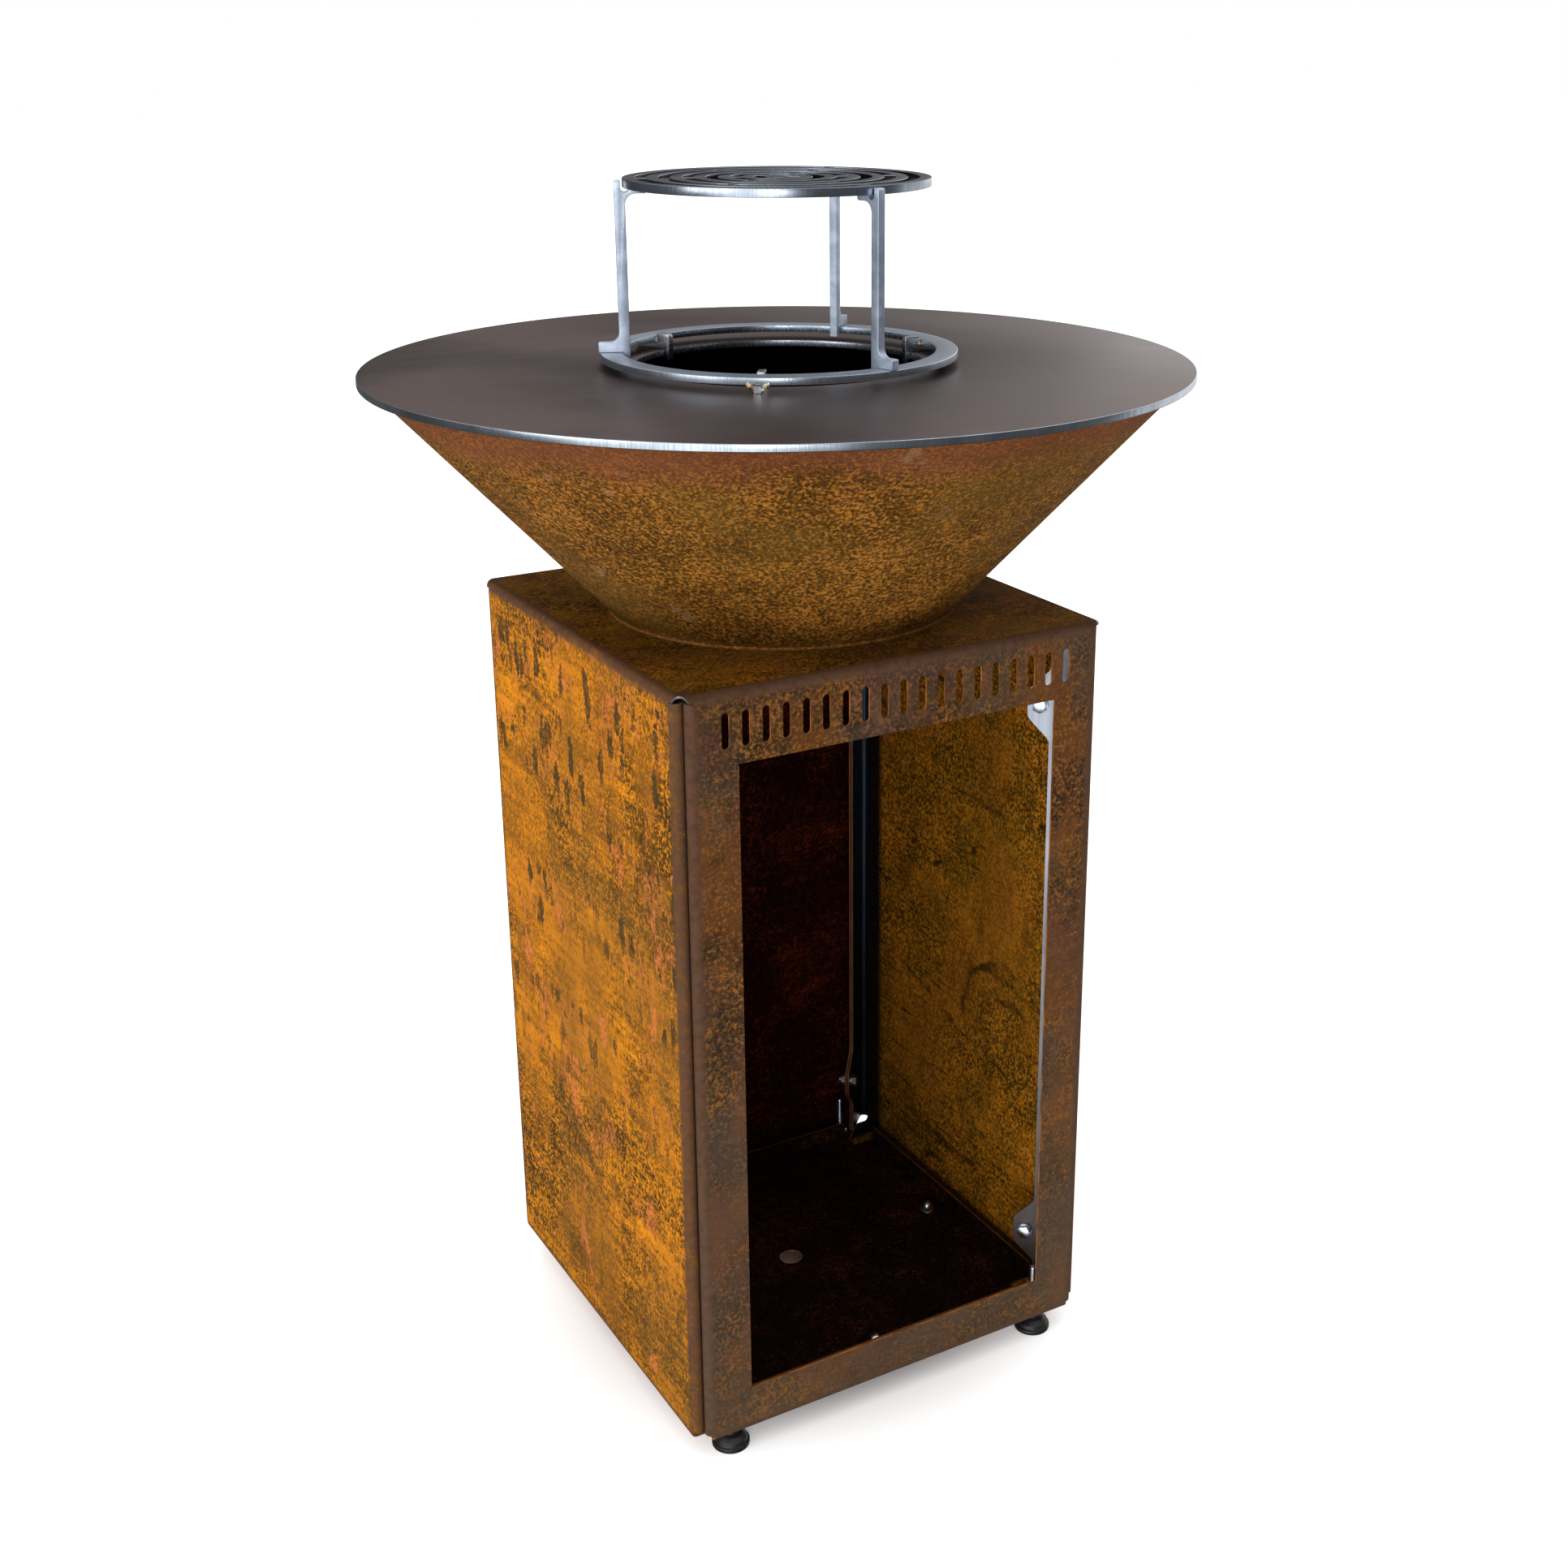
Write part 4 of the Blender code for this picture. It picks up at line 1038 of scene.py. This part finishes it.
def levelling_feet():
    inside = STAND_BOTTOM + SHEET + GAP
    profile = [
        (0.0080, FOOT_HUB_TOP),
        (0.0084, 0.0150),
        (0.0122, 0.0132),
        (0.0165, 0.0092),
        (FOOT_RADIUS - 0.0020, 0.0056),
        (FOOT_RADIUS, 0.0050),
        (FOOT_RADIUS, 0.0006),
        (FOOT_RADIUS - 0.0006, 0.0),
    ]
    base = lathe(rounded(profile, 0.0009, 3) + [(0.0, 0.0), (0.0, FOOT_HUB_TOP)], [0], 64)
    stud = lofted((threaded(FOOT_HUB_TOP + GAP, STUD_TOP), False))
    lock = lofted((hex_nut(FOOT_HUB_TOP + GAP, STAND_BOTTOM - GAP), True))
    crown = inside + 0.0030 + NUT_HEIGHT
    flange = lofted(([
        round_ring(FLANGE_NUT_RADIUS - 0.0003, inside),
        round_ring(FLANGE_NUT_RADIUS, inside + 0.0003),
        round_ring(FLANGE_NUT_RADIUS, inside + 0.0013),
        hex_ring(HEX_FLAT, inside + 0.0026),
        hex_ring(HEX_FLAT, crown, -1.0),
        round_ring(HEX_FLAT / 2 * HEX_CHAMFER_START, crown),
        round_ring(BORE_RADIUS + BORE_SINK, crown),
        round_ring(BORE_RADIUS, crown - BORE_SINK),
        round_ring(BORE_RADIUS, inside),
    ], True))
    for corner, (x, y) in CORNERS.items():
        matrix = Matrix.Translation((x * FOOT_X, y * FOOT_Y, 0)) @ spin()
        body = "foot_" + corner
        node = "foot_base_" + corner
        piece(node + "_detail", base, (BLACK,), body, (node,), matrix)
        zinc_piece("foot_stud_" + corner, stud, matrix, body)
        zinc_piece("foot_lock_nut_" + corner, lock, matrix)
        zinc_piece("foot_flange_nut_" + corner, flange, matrix)


# ---------------------------------------------------------------- the bowl and the round plates

def bowl():
    materials = (BOWL_OUTSIDE, BOWL_INSIDE)
    base_low = STAND_TOP + GAP
    base_high = base_low + BOWL_SHEET
    disc = [(BOWL_FOOT_RADIUS, base_high), (BOWL_FOOT_RADIUS, base_low), (0.0, base_low), (0.0, base_high)]
    base = lathe(disc, [0, 0, 1, 1])
    piece("bowl_base_disc", base, materials, "stand", ("bowl_base",))
    low = base_high + GAP
    high = PLATE_BOTTOM - GAP
    across = BOWL_SHEET * math.hypot(high - low, BOWL_RIM_RADIUS - BOWL_FOOT_RADIUS) / (high - low)
    outside = [(BOWL_RIM_RADIUS, high), (BOWL_FOOT_RADIUS, low)]
    inside = [(BOWL_FOOT_RADIUS - across, low), (BOWL_RIM_RADIUS - across, high)]
    cone = lathe(*softened(outside + inside, [0, 0, 1, 1], 0.0005))
    piece("bowl_cone_sheet", cone, materials, "stand", ("bowl_cone",))


def flat_ring(node, outer, inner, bottom, top, materials, body):
    profile = [(outer, top), (outer, bottom), (inner, bottom), (inner, top)]
    piece(node + "_disc", lathe(*softened(profile, [1, 0, 1, 0], 0.0007)), materials, body, (node,))


def bead(name, points, radii, seed):
    """A short weld bead: a rippled round run through the points."""
    draw = random.Random(seed)
    mesh = bmesh.new()
    sides = 12
    rings = []
    steps = 26
    count = len(points) - 1
    for i in range(steps + 1):
        at = min(i / steps * count, count - 1e-6)
        k = int(at)
        part = at - k
        middle = Vector(points[k]).lerp(Vector(points[k + 1]), part)
        ahead = (Vector(points[k + 1]) - Vector(points[k])).normalized()
        radius = radii[k] + (radii[k + 1] - radii[k]) * part
        radius *= 1.0 + 0.16 * math.sin(i * 2.1) + draw.uniform(-0.08, 0.08)
        if i in (0, steps):
            radius *= 0.45
        side = ahead.orthogonal().normalized()
        other = ahead.cross(side)
        ring = []
        for j in range(sides):
            angle = 2 * math.pi * j / sides
            wobble = radius * (1 + draw.uniform(-0.05, 0.05))
            ring.append(mesh.verts.new(middle + (side * math.cos(angle) + other * math.sin(angle)) * wobble))
        rings.append(ring)
    for low, high in zip(rings, rings[1:]):
        for j in range(sides):
            k = (j + 1) % sides
            mesh.faces.new((low[j], low[k], high[k], high[j]))
    mesh.faces.new(list(reversed(rings[0])))
    mesh.faces.new(rings[-1])
    return closed_mesh(mesh, name, math.radians(75.0))


def ring_feet():
    inner_edge = 0.1350
    toe_end = RING_RADIUS + 0.0045
    tongue_outer = PLATE_HOLE_RADIUS - GAP
    tongue_bottom = PLATE_BOTTOM - 0.0042
    rest = PLATE_TOP + GAP
    under_ring = RING_BOTTOM - GAP
    head_top = RING_TOP + 0.0020
    inside_ring = RING_HOLE_RADIUS - GAP
    outline = [(toe_end, rest), (toe_end, under_ring), (inside_ring, under_ring)]
    outline += arc((inside_ring - 0.0025, head_top - 0.0025), 0.0025, 0, 90, 4)
    outline += arc((inner_edge + 0.0035, head_top - 0.0035), 0.0035, 90, 180, 5)
    outline += arc((inner_edge + 0.0015, tongue_bottom + 0.0015), 0.0015, 180, 270, 3)
    outline += arc((tongue_outer - 0.0010, tongue_bottom + 0.0010), 0.0010, 270, 360, 3)
    data = cut_plate([outline + [(tongue_outer, rest)]], RING_FOOT_THICKNESS, 0.0005)
    half = RING_FOOT_THICKNESS / 2
    for number, (side, azimuth) in enumerate(RING_FOOT_AZIMUTHS.items()):
        node = f"ring_foot_{side}"
        matrix = radial(azimuth)
        piece(node + "_plate", data, (RING_FOOT_STEEL,), "ring", (node,), matrix)
        for hand, word in ((1, "a"), (-1, "b")):
            seed = 10 * number + hand
            flare = [
                (toe_end - 0.0020, rest + 0.0022, hand * (half + 0.0002)),
                (toe_end - 0.0012, rest + 0.0042, hand * (half + 0.0008)),
                (toe_end - 0.0020, under_ring - 0.0004, hand * (half + 0.0032)),
                (RING_RADIUS + 0.0006, under_ring + 0.0020, hand * (half + 0.0066)),
            ]
            outer = bead(f"weld_{side}_{word}", flare, [0.0015, 0.0021, 0.0026, 0.0017], seed)
            piece(f"weld_outer_{side}_{word}", outer, (WELD,), "ring", (), matrix)
            ends = (under_ring + 0.0010, RING_TOP - 0.0012)
            seam = [(inside_ring - 0.0006, height, hand * (half + 0.0003)) for height in ends]
            inner = bead(f"seam_{side}_{word}", seam, [0.0013, 0.0011], 50 + seed)
            piece(f"weld_inner_{side}_{word}", inner, (WELD,), "ring", (), matrix)


def grate_legs():
    rest = RING_TOP + GAP
    toe_end = 0.1735
    toe_top = rest + 0.0095
    toe_fillet = 0.009
    lip_outer = RING_HOLE_RADIUS - 0.0006
    lip_bottom = RING_TOP - 0.0090
    arm_top = GRATE_BOTTOM - GAP
    arm_bottom = arm_top - 0.0055
    arm_end = 0.1235
    arm_fillet = 0.010
    notch_radius = 0.0040
    rim_lip_inner = LEG_INNER + notch_radius
    rim_lip_top = GRATE_TOP - 0.0015
    outline = [(LEG_INNER, lip_bottom)]
    outline += arc((lip_outer - 0.003, lip_bottom + 0.003), 0.003, 270, 360, 5)
    outline += [(lip_outer, rest), (toe_end, rest)]
    outline += arc((toe_end - 0.0015, toe_top - 0.0015), 0.0015, 0, 90, 4)
    outline += arc((LEG_OUTER + toe_fillet, toe_top + toe_fillet), toe_fillet, 270, 180, 12)
    outline += arc((LEG_OUTER - 0.003, rim_lip_top - 0.003), 0.003, 0, 90, 6)
    outline += [(rim_lip_inner + 0.0008, rim_lip_top), (rim_lip_inner, rim_lip_top - 0.0008)]
    outline += arc((LEG_INNER, arm_top), notch_radius, 0, -180, 14)
    outline += [(arm_end + 0.001, arm_top), (arm_end, arm_top - 0.001)]
    outline += arc((arm_end + 0.002, arm_bottom + 0.002), 0.002, 180, 270, 4)
    outline += arc((LEG_INNER - arm_fillet, arm_bottom - arm_fillet), arm_fillet, 90, 0, 12)
    data = cut_plate([outline], LEG_THICKNESS, 0.0005)
    for side, azimuth in LEG_AZIMUTHS.items():
        node = f"grate_leg_{side}"
        piece(node + "_plate", data, (LEG_STEEL,), "grate", (node,), radial(azimuth))


def grate():
    loops = [circle((0, 0), GRATE_RADIUS, 240)]
    for row in range(GRATE_SLOT_RINGS):
        outer = GRATE_RADIUS - GRATE_BAND * (2 * row + 1)
        inner = outer - GRATE_BAND
        half_bridge = math.degrees(GRATE_BRIDGE / (outer + inner))
        steps = max(10, round(76 * outer / GRATE_RADIUS))
        shift = 60.0 * (row % 2)
        for azimuth in LEG_AZIMUTHS.values():
            start = azimuth + shift + half_bridge
            end = azimuth + shift + 120.0 - half_bridge
            loops.append(arc((0, 0), outer, start, end, steps) + arc((0, 0), inner, end, start, steps))
    data = cut_plate(loops, GRATE_THICKNESS, 0.0004)
    data.transform(Matrix.Translation((0, 0, GRATE_TOP - GRATE_THICKNESS / 2)))
    parts = []
    for face in data.polygons:
        # The slot walls take the dark copy, painted shade; the outer wall and the bevels take the bright edge.
        wall = abs(face.normal.z) < 0.1 and face.center.xy.length < GRATE_RADIUS - GRATE_BAND / 2
        parts.append(0 if abs(face.normal.z) > 0.9 else 2 if wall else 1)
    set_materials(data, (GRATE_STEEL, GRATE_EDGE, GRATE_WALL_SHADED), parts)
    piece("grate_disc", data, (), "grate", ("grate",))


# ---------------------------------------------------------------- floor, lights and camera

ROOM_LEVEL = 0.11
FLOOR_GLOW = 0.55
# Direction, the two cosines between which the panel comes up, and its strength
SOFT_PANELS = (
    ((-0.76, -0.64, -0.05), 0.76, 0.93, 1.8),
    ((0.93, 0.36, -0.05), 0.72, 0.94, 0.90),
    ((0.0, 0.0, 1.0), 0.30, 0.80, 1.15),
)
# Place, the point it faces, its side and its power
LIGHTS = {
    "key": ((-3.4, -0.6, 1.9), (0, 0, 0.5), 2.2, 56.0),
    "front": ((-2.0, -3.3, 1.1), (0, 0, 0.5), 0.9, 16.0),
    "back": ((3.2, 2.2, 1.9), (0, 0, 1.0), 1.8, 4.5),
}


def surroundings():
    """A white backdrop for the camera, and for the steel a dim room with two tall soft panels and a ceiling."""
    world = bpy.data.worlds.new("studio")
    bpy.context.scene.world = world
    world.use_nodes = True
    net = Nodes(world.node_tree, "Generated")
    total = None
    for direction, low, high, level in SOFT_PANELS:
        inputs = {0: net.place, 1: Vector(direction).normalized()}
        facing = net.add("ShaderNodeVectorMath", "Value", inputs, operation="DOT_PRODUCT")
        glow = facing.step(low, high, 0.0, level)
        total = glow + (total or ROOM_LEVEL)
    camera_ray = net.add("ShaderNodeLightPath", "Is Camera Ray")
    background = world.node_tree.nodes["Background"]
    seen = net.add("ShaderNodeMix", 0, {0: camera_ray, 2: total, 3: 1.0}, data_type="FLOAT")
    net.feed(background.inputs["Strength"], seen)
    net.feed(background.inputs["Color"], (255, 255, 255))


def studio():
    mesh = bmesh.new()
    bmesh.ops.create_grid(mesh, x_segments=1, y_segments=1, size=30.0)
    data = mesh_data(mesh, "floor")
    floor = bpy.data.objects.new("floor", data)
    bpy.context.scene.collection.objects.link(floor)
    floor.visible_glossy = False
    shade = Shade("floor")
    shade.set("Specular IOR Level", 0.0)
    shade.set("Emission Color", (255, 255, 255))
    x, y, z = shade.axes()
    # Painted light: the floor glows, more the farther it lies from the stand, so it reads white with a soft shade
    # near the stand.
    shade.set("Emission Strength", shade.math("SQRT", x * x + y * y).step(0.10, 0.42, 0.0, FLOOR_GLOW))
    shade.color = shade.mix(shade.noise(0.6), (244, 244, 244), (240, 240, 240))
    data.materials.append(shade.finish(0.9))

    surroundings()

    for name, (where, at, size, power) in LIGHTS.items():
        light = bpy.data.lights.new(name, "AREA")
        light.shape = "SQUARE"
        light.size = size
        light.energy = power
        made = bpy.data.objects.new(name, light)
        bpy.context.scene.collection.objects.link(made)
        made.location = where
        made.rotation_euler = (Vector(at) - Vector(where)).to_track_quat("-Z", "Y").to_euler()

    lens = bpy.data.cameras.new("camera")
    lens.lens = 46.01
    lens.sensor_width = 36.0
    lens.shift_x = -0.0494
    lens.shift_y = -0.0562
    camera = bpy.data.objects.new("camera", lens)
    bpy.context.scene.collection.objects.link(camera)
    camera.location = (-0.9306, -1.7088, 1.3549)
    camera.rotation_euler = (math.radians(90.0 - 18.63), 0.0, math.radians(-30.91))
    bpy.context.scene.camera = camera
    bpy.context.scene.view_settings.view_transform = "Standard"


random.seed(7)
stand_panels()
seam_shade_strip()
floor_tray()
corner_fasteners()
tray_fasteners()
levelling_feet()
bowl()
flat_ring(
    "cooking_plate", PLATE_RADIUS, PLATE_HOLE_RADIUS, PLATE_BOTTOM, PLATE_TOP,
    (PLATE_TOP_STEEL, PLATE_EDGE), "plate",
)
flat_ring(
    "fire_ring", RING_RADIUS, RING_HOLE_RADIUS, RING_BOTTOM, RING_TOP,
    (RING_TOP_STEEL, RING_EDGE), "ring",
)
ring_feet()
grate_legs()
grate()
studio()
